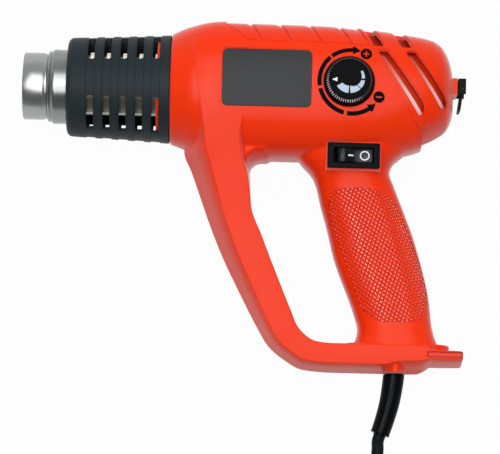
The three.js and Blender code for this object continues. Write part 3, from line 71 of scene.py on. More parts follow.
def tool_frame():
    """The matrix from the tool's axes, in millimetres, to the row's frame, in metres."""
    across = Vector(JOINTS["dial_turn"]["axis"]).normalized()
    back = Vector((1, 0, 0))
    up = across.cross(back)
    axes = Matrix((back, up, across)).transposed()
    origin = Vector(JOINTS["rotor_spin"]["pos_m"]) - back * ROTOR_JOINT_U * MM
    return Matrix.Translation(origin) @ axes.to_4x4() @ Matrix.Scale(MM, 4)


TOOL = tool_frame()
ROW = Matrix.Scale(MM, 4)
# The row's origin, from the barrel's axis on the surface
MIDDLE = (-2.450, -79.264)

# Body stations from front to rear: u, top w, bottom w, half-width, roundness
BODY = [
    (-46, 32, -32, 32, 2), (-40, 34.9, -34, 34.2, 2.1), (-32.5, 37.2, -36.6, 36.7, 2.3),
    (-25, 38.9, -38.5, 36.8, 2.5), (-17, 39.7, -39.2, 36.8, 2.6), (0, 39.6, -39.9, 36.8, 2.7),
    (45, 39.1, -40, 36.4, 2.7),
    (60, 37.8, -39.5, 36, 2.6), (75, 36.2, -37.5, 35.2, 2.6), (90, 34.5, -33.6, 34, 2.5),
    (100, 33.2, -29.4, 32.4, 2.4), (106, 31.7, -26.6, 30.6, 2.4), (110.3, 28.8, -24, 27.8, 2.4),
    (114, 23.4, -21, 23, 2.4), (116.2, 17.6, -17.6, 18, 2.4), (117.8, 10.4, -13, 11, 2.4),
]
# Grip stations from top to bottom: front u, front w, rear u, rear w, half-width, roundness
GRIP = [
    (26.5, -28, 96, -26, 26, 2.6), (28.5, -39, 90, -36, 24.2, 2.6), (32, -43.8, 84.4, -40.8, 22.4, 2.6),
    (36.4, -48.4, 82, -46.8, 20.6, 2.6), (39.5, -54.6, 84.3, -53, 19.2, 2.6),
    (42.6, -67, 87.2, -60.2, 18.4, 2.6), (46, -78.4, 91, -69.6, 18, 2.6), (50.8, -97, 97.6, -87, 18, 2.6),
    (63.4, -130.4, 106.5, -121.5, 18.3, 2.6), (65.4, -138.5, 107.9, -134, 18.9, 2.7),
    (64.2, -144.5, 109.9, -142, 19.6, 2.8), (62, -149, 112, -148, 19.8, 3), (62, -155, 112, -155, 19.4, 3),
]
# Guard stations down the strut and along the foot:
# outer u, w, inner u, w, half-width, outer slope, inner slope
GUARD = [
    (-35.2, 24, 0, 28, 31.2, 1.6, 3), (-35.1, 12, 0, 17, 36.2, 2.6, 3), (-34, -1, 2, 6, 37, 3.6, 3),
    (-34.4, -20, 1, -13, 35.6, 7, 3.2), (-37.4, -36.5, -0.6, -29.5, 32.8, 12.2, 4.4),
    (-32.8, -48.3, 0.6, -42, 30.2, 10.6, 4.2), (-29, -58.5, 1.3, -52, 28.6, 10, 1.6),
    (-20.9, -80.2, 2.6, -71, 25.9, 8.6, 0.3), (-13, -98.7, 9, -87.5, 24.3, 7.9, 0.2),
    (-3.2, -118.1, 17.2, -107.6, 22.9, 7, 0.2), (8.2, -139.3, 27, -130, 21.5, 5.9, 0.4),
    (14, -148.5, 30.6, -137.4, 20.9, 5.2, 0.8), (22.5, -155.8, 35, -142.2, 20.4, 4.6, 1),
    (34.7, -162, 41, -146, 20.1, 4.1, 0.8), (50.5, -163.1, 50.5, -147.2, 20, 3.8, 0.6),
    (80.5, -163.1, 80.5, -147, 20, 3.9, 0.6), (88.5, -163.1, 88.5, -147, 20, 5.8, 0.6),
    (100.4, -162.8, 100.4, -147, 20, 6, 0.6), (106.4, -159.4, 106.4, -148.6, 20, 3.6, 0.6),
]
# The heel of the body before the cover: u, bottom w, half-width
HEEL = [(78, -38.8, 34), (84.5, -37, 33.8), (90.8, -35.3, 33.4), (96.2, -33.7, 32.6), (100.2, -32.2, 31.8)]
TAB = [
    (100, -158.8, 100, -149.8, 19.9, 3.4, 0.4), (108, -158.8, 108, -149.9, 19.9, 3.4, 0.4),
    (124.4, -158.5, 124.4, -150.2, 19.9, 3.4, 0.4), (125.4, -158, 125.4, -150.6, 19.2, 3.2, 0.4),
]
# The tab's sunk frame: its middle, the outlines round it and inside it, and how low pocket and groove lie
TAB_POCKET = (115, -152.7)
TAB_FRAME, TAB_ISLAND = (20.4, 3.4, 0.5, 3), (19, 2.1, 0.4, 3)
TAB_POCKET_V, TAB_GROOVE_V = 19.1, 16.4
# Middle u, reach along u and across, bottom w and top w
LEDGE = (88, 30.5, 17.4, -151, -146.2)
# Reach along u and across, top w and bottom w
ENTRY_BOSS = (6.3, 17, -156, -163)
# The web in the corner of body and strut: its outline, and the half-widths over which it is graded
WEB = [(-8, -36), (12, -36), (12, -41.4), (7, -41.5), (4, -42.6), (1.7, -45), (0.8, -49), (-8, -49)]
WEB_STEPS, WEB_RISE = 8, 4.3
WEB_FLAT, WEB_NARROW, WEB_WIDE = 4, 5, 23
SMOOTH_ROUNDS = 4
PAD_ZONE = [
    (-14.8, 48), (-14.8, 37.2), (-12.8, 34.2), (-10.2, 32), (-7.6, 30.2), (-5.4, 27.6), (-3, 25.4),
    (0, 24.5), (69, 23.6), (60, 40), (60, 48),
]
PAD_EDGES = (-0.7, 16.4, 33.5, 50.6)
# Width of a groove, and how deep it lies under the pads, from its soft sides to its middle
GROOVE_STEPS = ((4.2, 0.35), (3, 0.75), (1.8, 1.2))
GROOVE_SLOPE = 0.54
KNURL_PANEL = [
    (48.4, -59.7), (52, -58.4), (60.6, -57.5), (68, -57.6), (75.5, -58.8), (79.6, -60.4),
    (82.9, -62.7), (86.6, -67.6), (93.6, -81.9), (99.8, -98), (104.4, -115), (104.8, -122),
    (103.6, -129), (100.6, -133), (95.9, -134.5), (80.2, -134.9), (73.6, -133.2), (69, -130),
    (65.4, -123.5), (60.8, -110.4), (54.8, -95), (49.4, -81.3), (47.1, -70), (46.8, -63),
]
# Lines per millimetre of both sets of lines, along u and w
KNURL_LINES = ((0.4375, -0.141), (0.272, 0.395))
KNURL_SUNK = 0.8
# A line's middle and the near and far edge of a diamond, in shares of the pitch
KNURL_PARTS = (0, 0.27, 0.73)
COVER_SEAM = [(60, 44), (61, 37.4), (93.6, -17.2), (98.2, -23.4), (100.6, -26), (100.8, -40)]
COVER_ENDS = [(150, -40), (150, 44)]
# The slope under the cover: u, and the w of its middle line
COVER_UNDER = ((88, -36.4), (100, -29.9), (122, -18.9))
COVER_UNDER_SLOPE = 0.34
BRACKET_SEAT = (115, 120.4, 0, 9.5, -9, 9)
SEAM_GAP = 0.1
COVER_VENTS = [
    [(62, 42), (67.2, 42), (76.6, 23.2), (70.6, 23.2)],
    [(79.4, 42), (84.2, 42), (92.6, 23.2), (86.4, 23.2)],
    [(72.8, 20), (78.6, 20), (98.4, -7.4), (100.2, -11), (99.8, -14), (97.7, -17.3)],
    [(88.6, 20.4), (94.6, 20.4), (111.4, -3.2), (113, -6.8), (112.6, -10), (110.7, -12.6)],
]
VENT_SIDES = ((2, 60), (-60, -2))
VENT_RIM = ((1, 0.3), (0.7, 0.6), (0.35, 0.95))
VENT_END_WALL = 1.3
# How far a slot's pan and its room reach past the slot, and how deep the room's floor and the pan's back lie
PAN_MORE, ROOM_MORE, ROOM_DEPTH, PAN_DEPTH = 2.1, 0.8, 5.6, 6.6
# How far the crisp guard stands out of the softened skin
CRISP = 0.06
HOUSING_FRONT = -46
TUBE_RADIUS = 21.6
SPIGOT_RADIUS = 28.3
SPIGOT_WALL = 2.2
SPIGOT_LENGTH = 8
DIAL_U, DIAL_W, DIAL_SEAT_V = 56.6, 1.0, 35
DIAL_TEETH, TEETH_FROM, TEETH_DEPTH, DIAL_FACE_RADIUS = 60, 11.8, 0.5, 11.9
PRINT_U, PRINT_W, PRINT_RADIUS = 58.1, 1.2, 18.55
# Degrees round the dial, from the rear towards the top; each head has its point and the way back from it
PRINT_ARCS = [(88.5, 128.7), (132.3, 189.5), (194.4, 257), (262.6, 304.4)]
PRINT_HEADS = [(74.4, 1), (318.4, -1)]
PRINT_DISCS = [(66.1, 17.7, 3.35, 2), (73.8, -7.5, 3.3, 1)]
PRINT_HALF = 1.25
# A head's length in degrees and its half-width; half-width and reach of a sign's strokes
HEAD_SPAN, HEAD_HALF = 14.5, 2.7
SIGN_HALF, SIGN_REACH = 0.38, 1.75
DIAL_POST_RADIUS, DIAL_SEAT_RADIUS, SPINDLE_HOLE_RADIUS = 17, 15.2, 3.3
SWITCH_U, SWITCH_W, PAD_V = 60.4, -40.2, 24.6
# Width, height and corner radius
SWITCH_SEAT, SWITCH_PAD = (32.6, 16.6, 2), (31.6, 16.2, 0.8)
SWITCH_HOLE_U, SWITCH_HOLE_W = 13.6, 6.1
# Middle u and w, width, height and corner radius
LABEL = (9.5, 2.1, 51, 33, 3)
LABEL_BACK_V = 14
FOOT_W = -163.1
ENTRY_U, ENTRY_RADIUS = 87.2, 5.9
POST_RADIUS, WELL_DEPTH = 4.2, 2.7
# How deep each housing screw's head lies, and its radius
SCREW_LOOKS = [(-26.3, 3.4), (-5, 2.4), (-15.6, 3), (-11, 2.4), (-13.4, 2.4), (-15, 2.4)]


def linear(code):
    """A colour code as linear light, with full alpha."""
    parts = [int(code[i:i + 2], 16) / 255 for i in (1, 3, 5)]
    return tuple(p / 12.92 if p <= 0.04045 else ((p + 0.055) / 1.055) ** 2.4 for p in parts) + (1.0,)


# ---- Materials


def maths(operation):
    """A method that combines a channel with another value in one Math node."""
    def method(self, other):
        return self.combine(other, operation)
    return method


class Channel:
    """A socket that takes part in arithmetic, each step of which adds a Math node."""

    def __init__(self, socket):
        self.socket = socket

    def combine(self, other, operation, reflected=False):
        node = self.socket.node.id_data.nodes.new("ShaderNodeMath")
        node.operation = operation
        for slot, value in zip(node.inputs, (other, self) if reflected else (self, other)):
            feed(slot, value)
        return Channel(node.outputs[0])

    __add__ = __radd__ = maths("ADD")
    __mul__ = __rmul__ = maths("MULTIPLY")
    __sub__, __truediv__ = maths("SUBTRACT"), maths("DIVIDE")
    __gt__, __lt__ = maths("GREATER_THAN"), maths("LESS_THAN")
    highest, lowest = maths("MAXIMUM"), maths("MINIMUM")
    # A wave of straight slopes between 0 and the other value
    fold = maths("PINGPONG")

    def __rsub__(self, other):
        return self.combine(other, "SUBTRACT", reflected=True)

    def __abs__(self):
        return self.combine(0, "ABSOLUTE")

    def root(self):
        return self.combine(0.5, "POWER")

    def inside(self, low, high):
        """1 from low to high, and 0 elsewhere."""
        return (self > low) * (self < high)


def feed(slot, value):
    """Links a channel to a socket, or sets the socket's own value."""
    if isinstance(value, Channel):
        slot.id_data.links.new(value.socket, slot)
    else:
        slot.default_value = value


class Nodes:
    """A node tree, and the nodes that are added to it."""

    def __init__(self, tree):
        self.tree = tree

    def node(self, kind, settings=None, inputs=None, output=0):
        """A node with its settings set first, then its inputs; its named or numbered output."""
        node = self.tree.nodes.new("ShaderNode" + kind)
        for key, value in (settings or {}).items():
            if key == "stops":
                ramp = node.color_ramp
                for extra, (place, colour) in enumerate(value):
                    stop = ramp.elements[extra] if extra < 2 else ramp.elements.new(place)
                    stop.position = place
                    stop.color = colour
            else:
                setattr(node, key, value)
        for key, value in (inputs or {}).items():
            feed(node.inputs[key], value)
        return Channel(node.outputs[output])

    def smoothed(self, value, low, high):
        return self.node("MapRange", {"interpolation_type": "SMOOTHSTEP"},
                         {"Value": value, "From Min": low, "From Max": high})

    def parts(self, vector):
        """The three channels of a vector."""
        node = self.node("SeparateXYZ", inputs={0: vector}).socket.node
        return [Channel(output) for output in node.outputs]


class Finish(Nodes):
    """A material under a Principled shader, and the nodes that vary it."""

    def __init__(self, name):
        self.material = bpy.data.materials.new(name)
        self.material.use_nodes = True
        super().__init__(self.material.node_tree)
        self.shader = self.tree.nodes["Principled BSDF"]

    def place(self):
        return self.node("TexCoord", output="Object")

    def in_tool(self):
        """Object coordinates in the tool's axes, in millimetres."""
        inverse = TOOL.inverted()
        turn = Euler((inverse.to_3x3() * MM).to_euler(), "XYZ")
        return self.node("Mapping", inputs={
            "Vector": self.place(), "Location": inverse.translation,
            "Rotation": turn, "Scale": (1 / MM,) * 3,
        })

    def noise(self, scale, detail=2.0, stretch=None, roughness=0.5):
        """Noise from 0 to 1 over the piece, about 0.5, with cells a scale of a metre across."""
        vector = self.place()
        if stretch:
            vector = self.node("Mapping", inputs={"Vector": self.in_tool(), "Scale": stretch})
        return self.node("TexNoise", inputs={
            "Vector": vector, "Scale": scale, "Detail": detail, "Roughness": roughness,
        })

    def between(self, first, second, share):
        """A colour between two, by a channel."""
        return self.node("Mix", {"data_type": "RGBA"}, {0: share, 6: first, 7: second}, output=2)

    def bump(self, height, depth, strength=1.0, over=None):
        """A bump whose height of 1 stands depth millimetres high."""
        inputs = {"Height": height, "Strength": strength, "Distance": depth * MM}
        if over:
            inputs["Normal"] = over
        return self.node("Bump", inputs=inputs)

    def mix_in(self, other, share):
        """Mixes another shader over the material's own by a share."""
        mixed = self.node("MixShader", inputs={0: share, 1: Channel(self.shader.outputs[0]), 2: other})
        feed(self.tree.nodes["Material Output"].inputs["Surface"], mixed)

    def set(self, **sockets):
        """Feeds the shader's sockets, whose names are written with underscores."""
        for key, value in sockets.items():
            feed(self.shader.inputs[key.replace("_", " ")], value)
        return self.material


def shade(colour, factor):
    """A colour made darker or lighter."""
    return tuple(min(1.0, c * factor) for c in colour[:3]) + (1.0,)


def moulded(name, colour, roughness, grain=0.02, grain_scale=1900, spread=0.05, specular=0.15):
    """Moulded plastic with a fine eroded grain, slow colour drift and uneven sheen."""
    f = Finish(name)
    drift = f.noise(16, 3)
    grit = f.noise(grain_scale, 3)
    tint = f.between(shade(colour, 1 - spread), shade(colour, 1 + spread), drift)
    sheen = (drift - 0.5) * 0.12 + (grit - 0.5) * 0.16 + roughness
    return f.set(Base_Color=tint, Roughness=sheen, Normal=f.bump(grit, grain), Specular_IOR_Level=specular)


def metal(name, colour, roughness, stretch=(0.02, 1, 1), scale=9.0, depth=0.01):
    """Drawn metal with lines along its own way, and soft marks."""
    f = Finish(name)
    lines = f.noise(scale, 4, stretch=stretch)
    marks = f.noise(60, 3)
    tint = f.between(shade(colour, 0.86), shade(colour, 1.1), lines * 0.6 + marks * 0.4)
    sheen = (lines - 0.5) * 0.22 + (marks - 0.5) * 0.14 + roughness
    return f.set(Base_Color=tint, Roughness=sheen, Metallic=1.0, Normal=f.bump(lines, depth))


# ---- Modelling


def loft(rings, capped=True):
    """A closed skin through rings of places that all have the same count."""
    bm = bmesh.new()
    circle = bmesh.ops.create_circle(bm, cap_ends=capped, segments=len(rings[0]), radius=1)["verts"]
    edges = bm.edges[:]
    for vert, place in zip(circle, rings[0]):
        vert.co = place
    for ring in rings[1:]:
        extruded = bmesh.ops.extrude_edge_only(bm, edges=edges)["geom"]
        fresh = {g for g in extruded if isinstance(g, bmesh.types.BMVert)}
        partner = {}
        for vert in fresh:
            for edge in vert.link_edges:
                if edge.other_vert(vert) not in fresh:
                    partner[edge.other_vert(vert)] = vert
        circle = [partner[vert] for vert in circle]
        for vert, place in zip(circle, ring):
            vert.co = place
        edges = [g for g in extruded if isinstance(g, bmesh.types.BMEdge) and fresh.issuperset(g.verts)]
    if capped:
        bmesh.ops.contextual_create(bm, geom=edges)
    bmesh.ops.recalc_face_normals(bm, faces=bm.faces)
    return bm


def refined(rows, step):
    """Rows between the given ones, on curves that never overshoot them."""
    places = [0.0]
    for before, after in zip(rows, rows[1:]):
        places.append(places[-1] + math.dist(before, after))
    slopes = []
    for column in zip(*rows):
        steps = [(b - a) / (q - p) for a, b, p, q in zip(column, column[1:], places, places[1:])]
        middle = [2 * a * b / (a + b) if a * b > 0 else 0.0 for a, b in zip(steps, steps[1:])]
        slopes.append([steps[0], *middle, steps[-1]])
    made = [rows[0]]
    for i, (before, after) in enumerate(zip(rows, rows[1:])):
        width = places[i + 1] - places[i]
        count = max(1, round(width / step))
        for k in range(1, count + 1):
            t = k / count
            rise = t * t * (3 - 2 * t)
            made.append(tuple(
                a + (b - a) * rise
                + width * (t * (1 - t) ** 2 * slope[i] - t * t * (1 - t) * slope[i + 1])
                for a, b, slope in zip(before, after, slopes)
            ))
    return made


def superellipse(count, power):
    """Places round an ellipse of half-width 1, which a larger power makes squarer."""
    for i in range(count):
        angle = 2 * math.pi * (i + 0.5) / count
        yield tuple(
            math.copysign(abs(part) ** (2 / power), part) for part in (math.cos(angle), math.sin(angle)))


def body_form(inset=0.0, sides=72, step=5):
    """The body, or the same with its surface moved in or out."""
    rows = refined(BODY, step)
    rings = []
    for number, (u, top, bottom, half, power) in enumerate(rows):
        place = u + inset * ((number == 0) - (number == len(rows) - 1))
        rings.append([
            (place, up * ((top if up > 0 else -bottom) - inset), across * (half - inset))
            for across, up in superellipse(sides, power)
        ])
    return loft(rings)


def grip_form(inset=0.0, sides=64, step=4):
    """The grip, or the same with its surface moved in or out."""
    rings = []
    for front_u, front_w, rear_u, rear_w, half, power in refined(GRIP, step):
        middle = Vector((front_u + rear_u, front_w + rear_w)) / 2
        reach = Vector((rear_u - front_u, rear_w - front_w)) / 2
        reach *= (reach.length - inset) / reach.length
        rings.append([
            (middle.x + along * reach.x, middle.y + along * reach.y, across * (half - inset))
            for along, across in superellipse(sides, power)
        ])
    return loft(rings)


def guard_form(stations, inset=0.0, soft=0.7, inner_round=0.8, step=4):
    """The guard's section: a slope up from the parting line, the near face and a round to the inner edge."""
    arc = [math.radians(90 * i / 6) for i in range(7)]
    rings = []
    for outer_u, outer_w, inner_u, inner_w, half, out_slope, in_slope in refined(stations, step):
        outer = Vector((outer_u, outer_w))
        across = Vector((inner_u, inner_w)) - outer
        width = across.length - 2 * inset
        across.normalize()
        height = half - inset
        near = [(0, 0), (out_slope * 0.5, height * 0.5), (out_slope * (1 - soft / height), height - soft)]
        near += [(out_slope + 0.35 * soft, height - 0.2 * soft), (out_slope + soft, height)]
        near += [
            (width - in_slope - inner_round * (1 - math.sin(a)), height - inner_round * (1 - math.cos(a)))
            for a in arc
        ]
        near += [(width - 0.4 * in_slope, height * 0.45), (width, 0)]
        section = near + [(s, -v) for s, v in near[-2:0:-1]]
        rings.append([
            (outer.x + across.x * (s + inset), outer.y + across.y * (s + inset), v) for s, v in section
        ])
    return loft(rings)


def prism(outline, low, high):
    """An outline in u and w, run from one v to another."""
    bm = bmesh.new()
    circle = bmesh.ops.create_circle(bm, cap_ends=True, segments=len(outline), radius=1)["verts"]
    for vert, (u, w) in zip(circle, outline):
        vert.co = (u, w, low)
    extruded = bmesh.ops.extrude_face_region(bm, geom=bm.faces[:])["geom"]
    bmesh.ops.translate(
        bm, vec=(0, 0, high - low), verts=[g for g in extruded if isinstance(g, bmesh.types.BMVert)])
    bmesh.ops.recalc_face_normals(bm, faces=bm.faces)
    return bm


def block(u0, u1, w0, w1, v0, v1):
    return prism([(u0, w0), (u1, w0), (u1, w1), (u0, w1)], v0, v1)


def oval(u, reach, side, w, count=64):
    """A ring at a height w, with its middle at u."""
    turns = (2 * math.pi * i / count for i in range(count))
    return [(u + reach * math.cos(a), w, side * math.sin(a)) for a in turns]


def grown(outline, more=0.0, corner=1.2, steps=4):
    """An outline with each side moved out, and its corners rounded."""
    turn = sum(a[0] * b[1] - b[0] * a[1] for a, b in zip(outline, outline[1:] + outline[:1]))
    points = [Vector(p) for p in (outline if turn > 0 else outline[::-1])]
    made = []
    for before, here, after in zip(points[-1:] + points[:-1], points, points[1:] + points[:1]):
        first, second = (here - before).normalized(), (after - here).normalized()
        away = Vector((first.y, -first.x)) + Vector((second.y, -second.x))
        tip = here + away * more / (away.length_squared / 2)
        turned_by = math.acos(max(-1, min(1, first.dot(second))))
        reach = (corner + more) * math.tan(turned_by / 2)
        start, end = tip - first * reach, tip + second * reach
        for i in range(steps + 1):
            t = i / steps
            made.append(tuple(start * (1 - t) ** 2 + tip * 2 * t * (1 - t) + end * t * t))
    return made


def rounded(u, w, width, height, corner, steps=8):
    """A rectangle with round corners."""
    outline = []
    for su, sw, start in ((1, 1, 0), (-1, 1, 90), (-1, -1, 180), (1, -1, 270)):
        for i in range(steps + 1):
            angle = math.radians(start + 90 * i / steps)
            outline.append((
                u + su * (width / 2 - corner) + corner * math.cos(angle),
                w + sw * (height / 2 - corner) + corner * math.sin(angle),
            ))
    return outline


def turned(profile, axis="u", centre=(0, 0, 0), steps=64, closed=False):
    """A profile of distance along the axis and radius, spun round it; closed is for a ring."""
    bm = bmesh.new()
    along = {"u": (Vector((1, 0, 0)), Vector((0, 1, 0))), "v": (Vector((0, 0, 1)), Vector((1, 0, 0))),
             "w": (Vector((0, 1, 0)), Vector((1, 0, 0)))}[axis]
    verts = [bm.verts.new(Vector(centre) + along[0] * d + along[1] * r) for d, r in profile]
    pairs = list(zip(verts, verts[1:])) + ([(verts[-1], verts[0])] if closed else [])
    edges = [bm.edges.new(pair) for pair in pairs]
    bmesh.ops.spin(
        bm, geom=verts + edges, cent=centre, axis=along[0], angle=2 * math.pi, steps=steps, use_merge=True,
    )
    bmesh.ops.remove_doubles(bm, verts=bm.verts, dist=1e-4)
    bmesh.ops.recalc_face_normals(bm, faces=bm.faces)
    return bm


def rod(radius, low, high, axis="v", centre=(0, 0, 0), steps=48):
    return turned([(low, 0), (low, radius), (high, radius), (high, 0)], axis, centre, steps)


def as_object(bm, name="cutter"):
    mesh = bpy.data.meshes.new(name)
    bm.to_mesh(mesh)
    bm.free()
    made = bpy.data.objects.new(name, mesh)
    bpy.context.scene.collection.objects.link(made)
    return made


def settled(obj):
    """The object's mesh with its modifiers applied, as a bmesh; the object is removed."""
    bpy.context.view_layer.update()
    mesh = obj.evaluated_get(bpy.context.evaluated_depsgraph_get()).to_mesh()
    bm = bmesh.new()
    bm.from_mesh(mesh)
    data = obj.data
    bpy.data.objects.remove(obj)
    bpy.data.meshes.remove(data)
    return bm


def combined(first, operation, *others):
    """A solid after others are joined to it, cut from it or kept within it. All are used up."""
    base = as_object(first)
    tools = [as_object(other) for other in others]
    for tool in tools:
        change = base.modifiers.new("cut", "BOOLEAN")
        change.solver = "MANIFOLD"
        change.operation = operation
        change.object = tool
    made = settled(base)
    for tool in tools:
        data = tool.data
        bpy.data.objects.remove(tool)
        bpy.data.meshes.remove(data)
    if not made.faces:
        raise RuntimeError("a cut left nothing of a piece")
    return made


def join(first, *others):
    return combined(first, "UNION", *others) if others else first


def cut(first, *others):
    return combined(first, "DIFFERENCE", *others) if others else first


def within(first, *others):
    return combined(first, "INTERSECT", *others)


def piece(name, bm, material, body="tool", replaces=(), matrix=None, sharp=32):
    """A finished piece in the row's frame, that rides on its body."""
    bm.transform(TOOL if matrix is None else matrix)
    bm.normal_update()
    made = as_object(bm, name)
    for each in material if isinstance(material, (list, tuple)) else [material]:
        made.data.materials.append(each)
    made.data.polygons.foreach_set("use_smooth", [True] * len(made.data.polygons))
    made.data.set_sharp_from_angle(angle=math.radians(sharp))
    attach(made, body)
    if replaces:
        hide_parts(*replaces)
    return made


def switch_prism(width, height, corner, low, high=FAR):
    """A rounded block with the switch's middle."""
    return prism(rounded(SWITCH_U, SWITCH_W, width, height, corner), low, high)


def label_prism(more=0.0, corner_more=0.0):
    """A block in the label's outline, or in a larger one."""
    u, w, width, height, corner = LABEL
    return prism(rounded(u, w, width + more, height + more, corner + corner_more), LABEL_BACK_V, FAR)


def dial_rod(radius, low, steps=48):
    return rod(radius, low, FAR, centre=(DIAL_U, DIAL_W, 0), steps=steps)


def screw_places():
    """Each housing screw's number, u, w, the v of its head and of its tip, and the head's radius."""
    for number, (head, radius) in enumerate(SCREW_LOOKS, 1):
        node = frame["nodes"][f"housing_screw_{number}"]
        local = [TOOL.inverted() @ vert.co for vert in node.data.vertices]
        u, w = (sum(place[axis] for place in local) / len(local) for axis in (0, 1))
        yield number, u, w, head, max(place.z for place in local), radius


def from_node(node, bevel=0.0, segments=2, angle=30):
    """A copy of a CAD node in the tool's axes, merged and with its edges softened."""
    bm = bmesh.new()
    bm.from_mesh(frame["nodes"][node].data)
    bm.transform(TOOL.inverted())
    bmesh.ops.remove_doubles(bm, verts=bm.verts, dist=1e-3)
    bmesh.ops.dissolve_limit(bm, angle_limit=math.radians(1), verts=bm.verts, edges=bm.edges)
    if bevel:
        edges = [e for e in bm.edges if len(e.link_faces) == 2 and e.calc_face_angle() > math.radians(angle)]
        bmesh.ops.bevel(
            bm, geom=edges, offset=bevel, offset_type="OFFSET", segments=segments, profile=0.5,
            affect="EDGES", clamp_overlap=True, material=-1,
        )
    bmesh.ops.recalc_face_normals(bm, faces=bm.faces)
    return bm


# ---- Settings


class HotAirSizes(bpy.types.PropertyGroup):
    """Sizes that a user may change."""

    voxel: bpy.props.FloatProperty(
        name="Skin cell", description="Cell of the housing's skin", default=0.0008, unit="LENGTH")
    cord: bpy.props.FloatProperty(
        name="Cord diameter", description="Diameter of the mains cord", default=0.007, unit="LENGTH")
    groove: bpy.props.FloatProperty(
        name="Groove depth", description="Depth of the grooves on top of the body", default=0.0009,
        unit="LENGTH")
    knurl: bpy.props.FloatProperty(
        name="Knurl height", description="Depth of the lines between the grip's diamonds",
        default=0.0005, unit="LENGTH")


def colour_setting(name, description, code):
    """A colour that a user may change, from its code."""
    return bpy.props.FloatVectorProperty(
        name=name, description=description, default=linear(code), size=4, min=0, max=1, subtype="COLOR")


class HotAirColours(bpy.types.PropertyGroup):
    """Colours that a user may change."""

    housing: colour_setting("Housing", "Red plastic of the housing", "#e93307")
    shroud: colour_setting("Shroud", "Dark plastic of the shroud", "#20292e")
    black: colour_setting("Black parts", "Dial, switch and bracket", "#0e1012")
    label: colour_setting("Label", "Bare plate", "#333637")
    steel: colour_setting("Steel", "Nozzle", "#a3a6a5")
    cord: colour_setting("Cord", "Cord and plug", "#12171c")
    relief: colour_setting("Strain relief", "Glossy rubber", "#090c0f")
    print: colour_setting("Print", "Black printing round the dial", "#0c0e0f")


def sizes():
    return bpy.context.scene.hot_air_sizes


def colours():
    return bpy.context.scene.hot_air_colours


def new_lamp(name, place, size, energy):
    """An area lamp that shines at LAMP_TARGET."""
    data = bpy.data.lights.new(name, "AREA")
    data.shape = "RECTANGLE"
    data.size, data.size_y = size
    data.energy = energy
    lamp = bpy.data.objects.new(name, data)
    lamp.location = place
    lamp.rotation_euler = (Vector(LAMP_TARGET) - Vector(place)).to_track_quat("-Z", "Y").to_euler()
    bpy.context.scene.collection.objects.link(lamp)


# ---- Operators


# The camera's aim on the parting plane, in the tool's axes, and its place: degrees and millimetres
CAMERA_AIM = (2, -79.6)
CAMERA_BELOW, CAMERA_ROLL, CAMERA_DISTANCE = 7.75, 1.5, 1740
CAMERA_LENS, CAMERA_SENSOR, CAMERA_REACH = 216, 36, 20
FLOOR_HALF = 3
# How much of the floor is white to the camera; the rest keeps the object's shadow
FLOOR_SEEN = 0.97
LAMP_TARGET = (0, 0, 0.03)
# Name, place, size and power
LAMPS = (
    ("key_light", (-0.05, -0.12, 1.95), (1.8, 1.9), 36),
    ("glint_light", (-0.3, -0.05, 1.8), (0.16, 0.16), 2),
)


class HOTAIR_OT_stage(bpy.types.Operator):
    """Camera, floor, lamps and world"""

    bl_idname = "hotair.stage"
    bl_label = "Stage"

    def execute(self, context):
        scene = context.scene
        scene.view_settings.view_transform = "Standard"
        self.camera(scene)
        bm = bmesh.new()
        bmesh.ops.create_grid(bm, x_segments=1, y_segments=1, size=FLOOR_HALF)
        floor = as_object(bm, "floor")
        floor.data.materials.append(self.floor_material())
        scene.world = self.world()
        for lamp in LAMPS:
            new_lamp(*lamp)
        return {"FINISHED"}

    def camera(self, scene):
        """The photo's camera, a little below the tool's side and rolled against it."""
        below = math.radians(CAMERA_BELOW)
        data = bpy.data.cameras.new("photo_camera")
        data.lens = CAMERA_LENS
        data.sensor_width = CAMERA_SENSOR
        data.clip_end = CAMERA_REACH
        camera = bpy.data.objects.new("photo_camera", data)
        scene.collection.objects.link(camera)
        scene.camera = camera
        aim_u, aim_w = CAMERA_AIM
        eye = TOOL @ Vector((
            aim_u, aim_w - CAMERA_DISTANCE * math.sin(below), CAMERA_DISTANCE * math.cos(below)))
        back = (eye - TOOL @ Vector((aim_u, aim_w, 0))).normalized()
        slope = math.radians(CAMERA_ROLL)
        right = TOOL.to_3x3() @ Vector((math.cos(slope), math.sin(slope), 0))
        right = (right - back * right.dot(back)).normalized()
        up = back.cross(right)
        camera.matrix_world = Matrix.Translation(eye) @ Matrix((right, up, back)).transposed().to_4x4()

    def world(self):
        """A white studio, brighter towards the horizon and towards the barrel's side."""
        world = bpy.data.worlds.new("studio")
        world.use_nodes = True
        sky = Nodes(world.node_tree)
        _, north, up_part = sky.parts(sky.node("TexCoord", output="Generated"))
        low = 1 - up_part.highest(0)
        strength = low * low * 0.5 * (north * 0.4 + 0.8) + sky.smoothed(north, 0.05, 0.6) * 0.4 + 0.16
        background = world.node_tree.nodes["Background"].inputs
        feed(background["Strength"], strength)
        feed(background["Color"], (1, 1, 1, 1))
        return world

    def floor_material(self):
        """A pale floor that keeps its shadows, and is white to the camera and in reflections."""
        f = Finish("pale_floor")
        path = f.tree.nodes.new("ShaderNodeLightPath")
        seen, glossy, through = (
            Channel(path.outputs[f"Is {kind} Ray"]) for kind in ("Camera", "Glossy", "Transmission"))
        f.set(Base_Color=(0.5, 0.5, 0.5, 1), Roughness=0.8)
        white = (seen * FLOOR_SEEN).highest(glossy.highest(through))
        f.mix_in(f.node("Emission", inputs={"Strength": 1}), white)
        return f.material


SLOT_U, SLOT_PITCH, SLOT_COLUMNS, SLOT_RADIUS = -54.5, 9.4, 5, 30.4
# Degrees from the left side towards the top
SLOT_ARCS = ((25, 66.5), (124, 162), (202, 230), (-66, -19))
